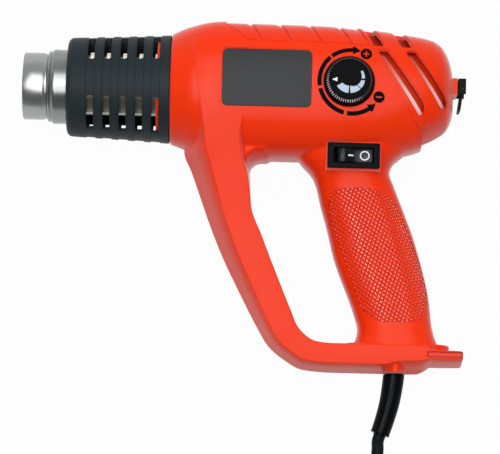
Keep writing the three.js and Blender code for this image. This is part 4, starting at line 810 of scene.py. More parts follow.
# The coil's middle, from the barrel's axis on the surface
COIL_CENTRE = (30, -274)
COIL_RADIUS, COIL_PITCH, COIL_TURNS, COIL_LIFT = 54, 7.6, 6.5, 1.4
COIL_STEPS = 24
CORD_RADIUS = 3.5
# Lean towards the front, drop below the foot, and radius
RELIEF_SECTIONS = [
    (0.2, 0.6, 6.2), (0.9, 7, 6.1), (2.3, 16, 5.9), (4.7, 25.5, 5.65), (7.1, 33.2, 5.5), (7.3, 34, 5.5),
    (7.6, 35, 5.5),
]
RUN_POINTS = [
    (78.5, -205.5, 16.6), (77.8, -215, 15.1), (78, -226, 12.4), (78.8, -237, 9.4), (80.6, -248, 6.8),
    (82.8, -258, 5.3),
]
TAIL_POINTS = [
    (-24.3, -258, 12), (-26.5, -247, 10.2), (-33, -236.5, 7.6), (-43.5, -229.6, 5.4), (-56, -228, 4.3),
    (-67.5, -232.5, 4.1), (-75.5, -242, 4.8), (-78.6, -253, 7), (-79, -263, 10.2),
]
PLUG_START = (-79, -276, 12.4)
# Distance from the plug's start, half-width, half-height and squareness
PLUG_SECTIONS = [
    (0, 4.6, 4.6, 2), (0.6, 5.2, 5.2, 2), (8, 5.8, 5.8, 2), (12, 11, 8.6, 2.4), (18, 17.2, 11.8, 3),
    (30, 17.5, 12, 3), (38.5, 17.5, 12, 3), (39.6, 17, 11.5, 3), (40, 16, 10.5, 3),
]
PIN_PROFILE = [(-59, 0), (-59, 1.2), (-58.4, 2), (-57, 2.4), (-35.3, 2.4), (-35.3, 0)]
PIN_SPACING = 9.5


def on_row(u, y, z):
    """A place of the cord, given from the barrel's axis on the surface, in the row's frame."""
    return Vector(((u - MIDDLE[0]) * MM, (y - MIDDLE[1]) * MM, z * MM))


def coil_places():
    """The cord's places through the coil, inward in its lower layer and outward in its upper one."""
    places = []
    for i in range(round(COIL_TURNS * COIL_STEPS) + 1):
        turns = i / COIL_STEPS
        inward = min(turns, COIL_TURNS - turns)
        radius = COIL_RADIUS - COIL_PITCH * inward
        climb = min(max((turns - COIL_TURNS / 2) * 2 + 0.5, 0), 1)
        angle = -2 * math.pi * turns
        places.append(on_row(
            COIL_CENTRE[0] + radius * math.cos(angle), COIL_CENTRE[1] + radius * math.sin(angle),
            CORD_RADIUS + COIL_LIFT + COIL_PITCH * climb * climb * (3 - 2 * climb),
        ))
    return places


class HOTAIR_OT_cord(bpy.types.Operator):
    """Mains cord with its coil, strap and plug"""

    bl_idname = "hotair.cord"
    bl_label = "Cord"

    def execute(self, context):
        lean, drop, _ = RELIEF_SECTIONS[-1]
        leave = TOOL @ Vector((ENTRY_U - lean, FOOT_W - drop, 0))
        lean_before, drop_before, _ = RELIEF_SECTIONS[-3]
        way = (leave - TOOL @ Vector((ENTRY_U - lean_before, FOOT_W - drop_before, 0))).normalized()
        places = [leave + way * FIT * MM, leave + way * 4 * MM]
        places += [on_row(*p) for p in RUN_POINTS]
        places += coil_places()
        places += [on_row(*p) for p in TAIL_POINTS]
        places += [on_row(PLUG_START[0], PLUG_START[1] + 7, PLUG_START[2]), on_row(*PLUG_START)]
        curve = bpy.data.curves.new("mains_cord", "CURVE")
        curve.dimensions = "3D"
        curve.bevel_depth = sizes().cord / 2
        curve.bevel_resolution = 6
        curve.resolution_u = 4
        curve.use_fill_caps = True
        spline = curve.splines.new("BEZIER")
        spline.bezier_points.add(len(places) - 1)
        for point, place in zip(spline.bezier_points, places):
            point.co = place
            point.handle_left_type = point.handle_right_type = "AUTO"
        cord = bpy.data.objects.new("mains_cord", curve)
        context.scene.collection.objects.link(cord)
        curve.materials.append(moulded("cord_pvc", colours().cord, 0.45, 0.015, 1500, 0.06, specular=0.04))
        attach(cord, "tool")
        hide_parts("cord_run", "cord_coil", "cord_tail")
        plug = self.plug()
        pins = [self.pin(side, number) for side, number in ((-1, 1), (1, 2))]
        strap = self.strap()
        return {"FINISHED"}

    def plug(self):
        rings = []
        for along, half_width, half_height, power in refined(PLUG_SECTIONS, 1.5):
            rings.append([
                (PLUG_START[0] + across * half_width - MIDDLE[0], PLUG_START[1] - along - MIDDLE[1],
                 PLUG_START[2] + up * half_height)
                for across, up in superellipse(48, power)
            ])
        bm = loft(rings)
        material = moulded("plug_rubber", colours().cord, 0.5, 0.03, 900, 0.06)
        return piece("mains_plug", bm, material, replaces=["plug_body"], matrix=ROW)

    def pin(self, side, number):
        bm = turned(PIN_PROFILE, "w", (
            PLUG_START[0] + side * PIN_SPACING - MIDDLE[0], PLUG_START[1] - MIDDLE[1], PLUG_START[2]), 32)
        material = metal(f"pin_nickel_{number}", linear("#c2bfb4"), 0.24)
        return piece(
            f"mains_pin_{number}", bm, material, replaces=[f"plug_pin_{number}"], matrix=ROW)

    def strap(self):
        bm = bmesh.new()
        bm.from_mesh(frame["nodes"]["cord_tie"].data)
        bmesh.ops.remove_doubles(bm, verts=bm.verts, dist=1e-6)
        f = Finish("strap_loops")
        curl = f.node("TexVoronoi", inputs={"Vector": f.place(), "Scale": 1400.0})
        drift = f.noise(90, 3)
        tint = f.between(shade(colours().black, 0.7), shade(colours().black, 1.6), curl * 0.6 + drift * 0.4)
        f.set(Base_Color=tint, Roughness=(drift - 0.5) * 0.1 + 0.85, Normal=f.bump(curl, 0.12))
        return piece(
            "coil_strap", bm, f.material, replaces=["cord_tie"],
            matrix=Matrix.Identity(4))


class HOTAIR_OT_housing(bpy.types.Operator):
    """Both halves of the housing and its rear cover"""

    bl_idname = "hotair.housing"
    bl_label = "Housing"

    def execute(self, context):
        hollow = self.hollow()
        halves = hollow.copy()
        cover = self.cover(hollow)
        side = [(u - SEAM_GAP, w) for u, w in COVER_SEAM] + COVER_ENDS
        entry = rod(ENTRY_RADIUS, FOOT_W - 4, FOOT_W + 5.5, "w", (ENTRY_U, 0, 0))
        halves = cut(halves, within(prism(side, -FAR, FAR), body_form(-1)), entry)
        left = within(halves.copy(), block(*SIDE_SPAN, FIT / 2, FAR))
        right = within(halves, block(*SIDE_SPAN, -FAR, -FIT / 2))
        left = join(left, switch_prism(*SWITCH_PAD, 8, PAD_V))
        left = cut(
            left,
            cut(label_prism(1.8, 0.9), body_form(0.4)),
            dial_rod(DIAL_SEAT_RADIUS, DIAL_SEAT_V, 96),
            dial_rod(SPINDLE_HOLE_RADIUS, 10, 32),
            switch_prism(*SWITCH_SEAT, PAD_V),
            block(
                SWITCH_U - SWITCH_HOLE_U, SWITCH_U + SWITCH_HOLE_U,
                SWITCH_W - SWITCH_HOLE_W, SWITCH_W + SWITCH_HOLE_W, 0, FAR),
            cut(label_prism(0.6, 0.3), body_form(1.6)),
        )
        red = self.red_plastic()
        piece("left_shell", left, red, replaces=["left_housing"])
        piece("right_shell", right, red, replaces=["right_housing"])
        piece("rear_shell", cover, red, replaces=["rear_cover"])
        self.liners()
        self.diamonds()
        return {"FINISHED"}

    def skin(self):
        """The outside: soft where body, grip and guard meet, and crisp along guard and foot."""
        web = []
        for step in range(WEB_STEPS):
            half = WEB_NARROW + (WEB_WIDE - WEB_NARROW) * step / (WEB_STEPS - 1)
            rise = WEB_RISE * ((half - WEB_FLAT) / (WEB_WIDE - WEB_FLAT)) ** 2
            web.append(prism([(u - rise / 2, w + rise) for u, w in WEB], -half, half))
        shape = join(body_form(), grip_form(), guard_form(GUARD), guard_form(TAB), *web)
        skin = as_object(shape, "skin")
        remesh = skin.modifiers.new("remesh", "REMESH")
        remesh.mode = "VOXEL"
        remesh.voxel_size = sizes().voxel / MM * 1
        skin = settled(skin)
        for _ in range(SMOOTH_ROUNDS):
            bmesh.ops.smooth_vert(
                skin, verts=skin.verts, factor=0.5, use_axis_x=True, use_axis_y=True, use_axis_z=True)
        middle, reach, side, low, high = LEDGE
        ledge = loft([
            oval(middle, reach - draw, side - draw, w)
            for draw, w in ((0, low), (0, high - 0.5), (0.5, high))
        ])
        boss = loft([oval(ENTRY_U, *ENTRY_BOSS[:2], w) for w in ENTRY_BOSS[2:]])
        heel = loft([
            [(u, up * (30 if up > 0 else -bottom), across * half) for across, up in superellipse(72, 2.5)]
            for u, bottom, half in refined(HEEL, 4)
        ])
        return join(skin, guard_form(GUARD, -CRISP), guard_form(TAB, -CRISP), ledge, boss, heel)

    def hollow(self):
        """The whole shell, hollow but for what stands behind dial, switch, label and screws."""
        posts = []
        wells = []
        for _, u, w, head, _, radius in screw_places():
            posts.append(rod(POST_RADIUS, -FAR, FAR, centre=(u, w, 0), steps=24))
            wells.append(rod(radius + FIT, -FAR, head + WELL_DEPTH, centre=(u, w, 0), steps=32))
        room = cut(
            join(body_form(WALL), grip_form(WALL), guard_form(GUARD, WALL)),
            dial_rod(DIAL_POST_RADIUS, DIAL_SEAT_V - WALL),
            switch_prism(*SWITCH_SEAT, PAD_V - 2 * WALL),
            *posts,
            cut(label_prism(5, 2), body_form(WALL + 1.6)),
        )
        shell = join(cut(self.skin(), room), self.spigot())
        front = rod(TUBE_RADIUS + FIT, HOUSING_FRONT - 16, HOUSING_FRONT + 5, "u", steps=96)
        return cut(shell, front, *self.pads(), *self.vents(), *wells, *self.tab_frame(), *self.panels())

    def spigot(self):
        """The ring at the front, on which the shroud sits."""
        front, wall_radius = HOUSING_FRONT - SPIGOT_LENGTH, SPIGOT_RADIUS - SPIGOT_WALL
        return turned([
            (front, wall_radius), (front, SPIGOT_RADIUS), (HOUSING_FRONT + 1, SPIGOT_RADIUS),
            (HOUSING_FRONT + 1, wall_radius),
        ], "u", steps=96, closed=True)

    def tab_frame(self):
        """The tab's sunk frame: a shallow pocket, and a deeper groove round its edge."""
        outline = rounded(*TAB_POCKET, *TAB_FRAME)
        island = prism(rounded(*TAB_POCKET, *TAB_ISLAND), 10, FAR + 1)
        return prism(outline, TAB_POCKET_V, FAR), cut(prism(outline, TAB_GROOVE_V, FAR), island)

    def panels(self):
        """The sunk panels on both sides of the grip."""
        sides = ((5, FAR), (-FAR, -5))
        return [cut(prism(KNURL_PANEL, low, high), grip_form(KNURL_SUNK)) for low, high in sides]

    def cover(self, shell):
        """The rear cover, with the slope under it and the seat of the bracket."""
        cover = within(shell, prism([*COVER_SEAM, *COVER_ENDS], -FAR, FAR), body_form(-1))
        under = loft([
            [(u, middle, 0), (u, middle + COVER_UNDER_SLOPE * FAR, FAR), (u, -90, FAR), (u, -90, -FAR),
             (u, middle + COVER_UNDER_SLOPE * FAR, -FAR)]
            for u, middle in COVER_UNDER
        ])
        return join(cut(cover, under), block(*BRACKET_SEAT))

    def diamonds(self):
        """Raised diamonds in the grip's sunk panels, that follow the grip's own curve."""
        form = grip_form()
        tree = BVHTree.FromBMesh(form)
        form.free()
        lattice = Matrix(KNURL_LINES)
        marks = [lattice @ Vector(place) for place in KNURL_PANEL]
        spans = [(math.floor(min(column)) - 1, math.ceil(max(column)) + 1) for column in zip(*marks)]
        lines = [[i + part for i in range(low, high) for part in KNURL_PARTS] for low, high in spans]
        high, low = 0.02, -sizes().knurl / MM
        back = lattice.inverted()
        rings = []
        for second in lines[1]:
            ring = []
            for first in lines[0]:
                u, w = back @ Vector((first, second))
                place, normal, _, _ = tree.ray_cast(Vector((u, w, FAR)), Vector((0, 0, -1)))
                rise = low if first == int(first) or second == int(second) else high
                ring.append((u, w, place.z + rise / max(normal.z, 0.35) if place else 6))
            ring += [(*ring[-1][:2], 3), (*ring[0][:2], 3)]
            rings.append(ring)
        sheet = within(loft(rings), prism(grown(KNURL_PANEL, -0.1, 0.5), 4, FAR))
        sheet = cut(sheet, grip_form(KNURL_SUNK + 0.4))
        mirrored = sheet.copy()
        bmesh.ops.scale(mirrored, vec=(1, 1, -1), verts=mirrored.verts)
        bmesh.ops.recalc_face_normals(mirrored, faces=mirrored.faces)
        f = Finish("grip_plastic")
        drift = f.noise(14, 3)
        grit = f.noise(1900, 3)
        red = colours().housing
        u, w, _ = f.parts(f.in_tool())
        edges = [(u * a + w * b).fold(0.5) for a, b in KNURL_LINES]
        tint = f.between(shade(red, 0.96), shade(red, 1.04), drift)
        # Painted shade: the red is darker along the lines between the diamonds.
        tint = f.between(shade(red, 0.7), tint, f.smoothed(edges[0].lowest(edges[1]), 0.02, 0.2))
        f.set(
            Base_Color=tint, Normal=f.bump(grit, 0.02), Specular_IOR_Level=0.6,
            Roughness=(drift - 0.5) * 0.1 + (grit - 0.5) * 0.16 + 0.22)
        piece("left_diamonds", sheet, f.material, sharp=12)
        piece("right_diamonds", mirrored, f.material, sharp=12)

    def pads(self):
        """The sunk zone of pads on top of the body, the soft grooves before each pad and the seam's line."""
        depth = sizes().groove / MM
        made = [cut(prism(PAD_ZONE, -FAR, FAR), body_form(depth))]
        line = PAD_ZONE[1:9]
        strip = line + [(u + 0.5, w + 0.6) for u, w in reversed(line)]
        made.append(cut(prism(strip, -FAR, FAR), body_form(depth + 0.45)))
        for edge in PAD_EDGES:
            for width, more in GROOVE_STEPS:
                outline = [
                    (edge - GROOVE_SLOPE * 6 - width, 46), (edge - GROOVE_SLOPE * 6, 46),
                    (edge + GROOVE_SLOPE * 15.3, 24.7), (edge + GROOVE_SLOPE * 15.3 - width, 24.7),
                ]
                made.append(cut(prism(outline, -FAR, FAR), body_form(depth + more)))
        strip = [(u - 0.8, w) for u, w in COVER_SEAM] + [(u + 0.1, w) for u, w in reversed(COVER_SEAM)]
        made.append(cut(prism(strip, -FAR, FAR), body_form(0.3)))
        return made

    def vents(self):
        """The cover's slots, each with a chamfered rim."""
        made = []
        for outline in COVER_VENTS:
            for low, high in VENT_SIDES:
                made.append(prism(grown(outline), low, high))
                for grow, depth in VENT_RIM:
                    made.append(cut(prism(grown(outline, grow), low, high), body_form(depth)))
        return made

    def liners(self):
        """A pan behind each slot, with a floor that lies with the cover's own curve, coloured with painted
        shade and a painted pale reflection.
        """
        pans = []
        for outline in COVER_VENTS:
            for low, high in VENT_SIDES:
                pan = within(prism(grown(outline, PAN_MORE), low, high), body_form(WALL - 0.05))
                span = (low + VENT_END_WALL, high) if low > 0 else (low, high - VENT_END_WALL)
                room = cut(prism(grown(outline, ROOM_MORE), *span), body_form(ROOM_DEPTH))
                pans.append(cut(pan, body_form(PAN_DEPTH), room))
        f = Finish("vent_plastic")
        drift = f.noise(90, 3)
        grit = f.noise(1700, 3)
        u, w, _ = f.parts(f.in_tool())
        # Painted light: the pans are a dark red of painted shade, with a pale stripe of painted reflection
        # along each slot, whiter lower down and fading out near the top.
        across = (u + w * 0.69 - 84.6).combine(16, "FLOORED_MODULO")
        pale = f.smoothed(across, 1.5, 2) * (1 - f.smoothed(across, 4.4, 5)) * (1 - f.smoothed(w, 17, 21))
        reflection_tint = f.between(linear("#f3d6d8"), linear("#cb6560"), f.smoothed(w, -12, 16))
        tint = f.between(shade(colours().housing, 0.62), reflection_tint, pale)
        f.set(
            Base_Color=tint, Roughness=(drift - 0.5) * 0.2 + 0.4, Normal=f.bump(grit, 0.02),
            Specular_IOR_Level=0.1)
        return piece("vent_liners", join(*pans), f.material)

    def red_plastic(self):
        """Glossy red plastic, mixed with flat black ink where the arrows and discs are printed."""
        f = Finish("housing_plastic")
        red = colours().housing
        drift = f.noise(14, 3)
        grit = f.noise(1900, 3)
        u, w, v = f.parts(f.in_tool())
        printed = self.printing(u, w) * (v > 10)
        cloud = drift * 0.5 + grit * 0.5
        tint = f.between(f.between(shade(red, 0.92), shade(red, 1.07), cloud), colours().print, printed)
        sheen = (drift - 0.5) * 0.1 + (grit - 0.5) * 0.16 + 0.3
        f.set(
            Base_Color=tint, Roughness=sheen, Normal=f.bump(grit, 0.025), Specular_IOR_Level=0.14,
            Sheen_Weight=0.32, Sheen_Roughness=0.3)
        ink = f.node("BsdfPrincipled", inputs={
            "Base Color": colours().print, "Roughness": 0.7, "Specular IOR Level": 0.03})
        f.mix_in(ink, printed)
        return f.material

    def printing(self, u, w):
        """1 on the arrows and the two discs round the dial, by their places in the tool's axes."""
        across, up = u - PRINT_U, w - PRINT_W
        off_line = abs((across * across + up * up).root() - PRINT_RADIUS)
        turn = (up.combine(across, "ARCTAN2") * (180 / math.pi)).combine(360, "FLOORED_MODULO")
        mask = 0
        for start, end in PRINT_ARCS:
            mask = turn.inside(start, end) + mask
        mask = mask * (off_line < PRINT_HALF)
        for point, way in PRINT_HEADS:
            back = (turn - point) * way
            mask = mask.highest((back * (HEAD_HALF / HEAD_SPAN) > off_line) * (back < HEAD_SPAN))
        for disc_u, disc_w, radius, arms in PRINT_DISCS:
            du, dw = u - disc_u, w - disc_w
            disc = (du * du + dw * dw).root() < radius
            sign = (abs(dw) < SIGN_HALF) * (abs(du) < SIGN_REACH)
            if arms > 1:
                sign = sign.highest((abs(du) < SIGN_HALF) * (abs(dw) < SIGN_REACH))
            mask = mask.highest(disc * (1 - sign))
        return mask


class HOTAIR_OT_barrel(bpy.types.Operator):
    """Steel nozzle and slotted shroud"""

    bl_idname = "hotair.barrel"
    bl_label = "Barrel"

    def execute(self, context):
        self.nozzle()
        self.shroud()
        return {"FINISHED"}

    def nozzle(self):
        """The steel nozzle, with glowing spots of painted light where light falls through the shroud's
        slots.
        """
        outer = [
            (-131.7, 18.9), (-131.55, 19.25), (-131.1, 19.5), (-125, 19.5), (-120.4, 19.5), (-119.6, 19.35),
            (-118.8, 18.9), (-118.1, 18.9), (-117.6, 19.7), (-117.1, 20.5), (-116.4, 20.8), (-115.7, 20.35),
            (-115.2, 20.6), (-114.6, 21.35), (-113.8, 21.75), (-112.6, 21.7), (-111, 21.6), (-80, 21.6),
            (-43.2, 21.6), (-43.2, 24.4), (-42, 24.4),
        ]
        inner = [(-42, 20.7), (-110, 20.7), (-114.4, 20.6), (-116.4, 19.7), (-118.4, 18.4), (-120.4, 18.6),
                 (-131.4, 18.6)]
        bm = turned([*outer, *inner], "u", steps=128, closed=True)
        f = Finish("nozzle_steel")
        steel = colours().steel
        lines = f.noise(7.0, 5, stretch=(2.2, 0.03, 0.03))
        marks = f.noise(70, 4)
        tint = f.between(shade(steel, 0.82), shade(steel, 1.12), lines * 0.65 + marks * 0.35)
        u, w, _ = f.parts(f.in_tool())
        # Painted shade: the steel behind the bead is made darker.
        tint = f.between(tint, shade(steel, 0.72), f.smoothed(u, -118, -115))
        # A darker warm grey where the shroud covers the steel.
        covered = f.smoothed(u, -108, -103)
        tint = f.between(tint, linear("#8a837a"), covered)
        # Painted light: the steel glows in spots behind the upper slots, and in a dimmer line low down,
        # where the shroud covers it.
        spot = w.inside(13.4, 18.7) * (((u - SLOT_U + 0.7).combine(SLOT_PITCH, "FLOORED_MODULO")) < 2.9)
        painted_light_share = spot.highest(w.inside(-17.9, -16.8) * 0.4) * covered
        painted_slot_light = f.between((0, 0, 0, 1), linear("#e6e6e0"), painted_light_share)
        sheen = (lines - 0.5) * 0.16 + (marks - 0.5) * 0.22 + 0.27
        material = f.set(Base_Color=tint, Roughness=sheen, Metallic=1.0, Normal=f.bump(lines, 0.008),
                         Emission_Color=painted_slot_light, Emission_Strength=0.8)
        piece("steel_nozzle", bm, material, replaces=["nozzle"])

    def shroud(self):
        """The shroud, a little sunk along each row of slots."""
        rear, length, front_radius, rear_radius, wall = HOUSING_FRONT - FIT, 59.8, 28.8, 31.6, 2.6
        rounding, sunk_half, sunk_slope, sunk_depth = 3.4, 2.5, 0.25, 0.42
        front = rear - length
        columns = [SLOT_U - SLOT_PITCH * i for i in range(SLOT_COLUMNS)]

        def radius(u):
            share = (u - front - rounding) / (length - rounding)
            near = min(abs(u - column) for column in columns)
            sunk = min(max((sunk_half + sunk_slope - near) / sunk_slope, 0), 1)
            return front_radius + (rear_radius - front_radius) * share - sunk_depth * sunk

        outer = [(front, 21.9), (front, front_radius - rounding)]
        outer += [
            (front + rounding * (1 - math.sin(a)), front_radius - rounding * (1 - math.cos(a)))
            for a in (math.radians(degrees) for degrees in range(75, -1, -15))
        ]
        stops = sorted({
            round(column + side * gap, 3) for column in columns for side in (-1, 1)
            for gap in (sunk_half, sunk_half + sunk_slope)
        })
        outer += [(u, radius(u)) for u in stops if u < rear - 0.5]
        outer += [(rear - 0.4, rear_radius), (rear, rear_radius - 0.4)]
        inner = [(rear, rear_radius - wall), (front + wall + 1, front_radius - wall), (front + wall, 21.9)]
        bm = turned([*outer, *inner], "u", steps=144, closed=True)
        slots = []
        for column in columns:
            for low, high in SLOT_ARCS:
                slots.append(self.slot(column, low, high))
        bm = cut(bm, *slots)
        material = moulded("shroud_plastic", colours().shroud, 0.5, 0.02, 1700, 0.06, specular=0.13)
        piece("slotted_shroud", bm, material, replaces=["barrel_shroud"])

    def slot(self, u, low, high, half=2.0, corner=1.2):
        """A slot's cutter: a rounded outline along the arc, from inside the tube to outside the shroud."""
        middle, reach = math.radians((low + high) / 2), SLOT_RADIUS * math.radians(high - low) / 2
        outline = rounded(0, 0, 2 * half, 2 * reach, corner, 4)
        rings = []
        for radius in (24, 28, 34):
            rings.append([
                (u + along, radius * math.sin(turn), radius * math.cos(turn))
                for along, turn in ((along, middle + arc / SLOT_RADIUS) for along, arc in outline)
            ])
        return loft(rings)


class HOTAIR_OT_dial(bpy.types.Operator):
    """Temperature dial with its pointer and scale"""

    bl_idname = "hotair.dial"
    bl_label = "Dial"

    def execute(self, context):
        base, top = 35.3, 43.5
        profile = [
            (base, 3.6), (base, 14.3), (base + 0.4, 14.65), (base + 1.2, 14.65), (base + 1.6, 14.4),
            (base + 3.6, 13.8), (base + 5.4, 13.1), (top - 1.5, 12.5), (top - 0.7, 12), (top - 0.3, 11.5),
            (top - 0.1, 11.2), (top - 0.1, 11), (top - 0.4, 10.8), (top - 0.4, 8), (top - 0.4, 4),
            (top - 0.4, 0),
        ]
        bm = turned(profile, "v", (DIAL_U, DIAL_W, 0), DIAL_TEETH * 4)
        for vert in bm.verts:
            across = Vector((vert.co.x - DIAL_U, vert.co.y - DIAL_W))
            if across.length > TEETH_FROM and vert.co.z > base + 1.4:
                angle = math.atan2(across.y, across.x)
                depth = TEETH_DEPTH * (0.5 + 0.5 * math.cos(DIAL_TEETH * angle))
                vert.co.x -= depth * across.x / across.length
                vert.co.y -= depth * across.y / across.length
        skirt = self.toothed()
        flat = moulded("dial_face", colours().black, 0.5, 0.015, 1700, 0.06, specular=0.02)
        for each in bm.faces:
            place = each.calc_center_median()
            each.material_index = int(math.dist(place.xy, (DIAL_U, DIAL_W)) < DIAL_FACE_RADIUS)
        piece(
            "control_dial", bm, [skirt, flat], body="dial",
            replaces=["temperature_dial"], sharp=40)
        white = moulded("dial_white", linear("#e8ecee"), 0.5, 0.005, 1700, 0.02)
        pale = moulded("dial_pale_blue", linear("#b0c3d6"), 0.5, 0.005, 1700, 0.03)
        face = top - 0.4
        pointer = [(DIAL_U - 10.0, DIAL_W - 0.3), (DIAL_U - 7.0, DIAL_W - 1.5), (DIAL_U - 7.0, DIAL_W + 1)]
        piece("dial_pointer", prism(pointer, face - 0.1, face + 0.08), white, body="dial")
        table = [(205, 8.3, 4.6), (270, 8.0, 3.9), (315, 8.3, 5.2), (360, 8.7, 6.7), (400, 8.9, 7.7)]
        rows = refined(table, 4)
        cuts = [205, 271, 321, 361, 400]
        for number, (start, end) in enumerate(zip(cuts, cuts[1:]), 1):
            part = [row for row in rows if start + 1.2 <= row[0] <= end - 1.2]
            outline = [self.at(angle, outer) for angle, outer, _ in part]
            outline += [self.at(angle, inner) for angle, _, inner in reversed(part)]
            mark = prism(outline, face - 0.1, face + 0.08)
            piece(f"dial_scale_{number}", mark, pale, body="dial")
        return {"FINISHED"}

    def toothed(self):
        """Black plastic whose teeth carry painted pale highlights along the dial's upper edge."""
        f = Finish("dial_skirt")
        drift = f.noise(60, 3)
        grit = f.noise(1700, 3)
        u, w, _ = f.parts(f.in_tool())
        across, up = u - DIAL_U, w - DIAL_W
        radius = (across * across + up * up).root()
        crest = (up.combine(across, "ARCTAN2") * DIAL_TEETH).combine(0, "COSINE") < -0.35
        # Painted highlight: pale tooth crests, strongest towards the dial's lower front, where the light
        # glints.
        lit = f.smoothed((across * -0.6 + up * -0.8) / radius, 0.1, 0.8) * 0.85 + 0.15
        painted_tooth_glint = radius.inside(11.6, 13.1) * crest * lit
        black = f.between(shade(colours().black, 0.55), shade(colours().black, 0.65), drift)
        return f.set(
            Base_Color=f.between(black, linear("#dfe3e5"), painted_tooth_glint), Normal=f.bump(grit, 0.01),
            Roughness=(drift - 0.5) * 0.1 + 0.4, Specular_IOR_Level=0.04)

    def at(self, degrees, radius):
        """A place on the dial's face."""
        angle = math.radians(degrees)
        return (DIAL_U + radius * math.cos(angle), DIAL_W + radius * math.sin(angle))


class HOTAIR_OT_switch(bpy.types.Operator):
    """Rocker switch with its marks"""

    bl_idname = "hotair.switch"
    bl_label = "Switch"

    def execute(self, context):
        black = moulded("switch_plastic", colours().black, 0.4, 0.012, 1700, 0.06, specular=0.03)
        back, front = PAD_V + FIT, PAD_V + 2.3
        frame_bm = join(
            block(SWITCH_U - 13.3, SWITCH_U + 13.3, SWITCH_W - 5.8, SWITCH_W + 5.8, PAD_V - 20, back + 0.5),
            self.bezel(back, front),
        )
        opening = loft([
            self.flat(rounded(SWITCH_U, SWITCH_W, width, height, 0.8), v)
            for width, height, v in (
                (22.6, 8.4, PAD_V - 9.3), (22.6, 8.4, front - 0.8), (23.4, 9.2, front + 0.1),
                (24, 9.8, front + 2),
            )
        ])
        frame_bm = cut(frame_bm, opening)
        piece("switch_frame", frame_bm, black, replaces=["switch_body"])
        glossy = moulded("rocker_plastic", colours().black, 0.25, 0.006, 1700, 0.06, specular=0.2)
        self.rocker(front, glossy)
        return {"FINISHED"}

    def flat(self, outline, v):
        """An outline in u and w as places at one v."""
        return [(u, w, v) for u, w in outline]

    def bezel(self, back, front):
        """The switch's flange, with a softened rim."""
        return loft([
            self.flat(rounded(SWITCH_U, SWITCH_W, 30 - 2 * draw, 14.6 - 2 * draw, 0.8), v)
            for draw, v in (
                (0.1, back), (0, back + 0.2), (0, front - 0.5), (0.2, front - 0.15), (0.6, front),
            )
        ])

    def rocker(self, front, black):
        """The rocker in its off position, with its ring and dash."""
        hinge_v = front - 4.4
        half = 9.9
        tilt = math.radians(11)
        turn = Matrix.Translation((SWITCH_U, SWITCH_W, hinge_v)) @ Matrix.Rotation(tilt, 4, "Y")
        top = [
            (-half, 2.8), (-half + 0.3, 3.1), (-6.3, 4.55), (-5.9, 4.5), (-3.2, 3.5), (0, 3.1),
            (3.2, 3.4), (6.6, 4.3), (half - 0.3, 5.55), (half, 5.4),
        ]
        outline = [*top, (half - 0.6, -1), (5.5, -4.5), (-5.5, -4.5), (0.6 - half, -1)]
        bm = loft([[(u, w, v) for u, v in outline] for w in (-3.9, 3.9)])
        edges = [e for e in bm.edges if e.is_manifold and e.calc_face_angle() > math.radians(50)]
        bmesh.ops.bevel(
            bm, geom=edges, offset=0.25, offset_type="OFFSET", segments=2, profile=0.5, affect="EDGES",
            clamp_overlap=True, material=-1)
        bm = join(bm, rod(1.1, -4.8, 4.8, "w", steps=24))
        bm.transform(turn)
        piece("rocker_key", bm, black, body="rocker", replaces=["switch_rocker"])
        white = moulded("switch_white", linear("#e4e8ea"), 0.5, 0.005, 1700, 0.02)
        slope = math.atan2(5.55 - 2.8, half)
        ring = turned([(-0.1, 2.1), (-0.1, 2.8), (0.06, 2.8), (0.06, 2.1)], "v", steps=40, closed=True)
        ring.transform(turn @ Matrix.Translation((5.6, 0, 4.28)) @ Matrix.Rotation(-slope * 1.18, 4, "Y"))
        piece("mark_off", ring, white, body="rocker")
        dash = prism(rounded(0, 0, 5, 0.85, 0.1, 2), -0.2, 0.1)
        dash.transform(turn @ Matrix.Translation((-3.3, 0, 3.6)) @ Matrix.Rotation(slope * 0.6, 4, "Y"))
        piece("mark_on", dash, white, body="rocker")


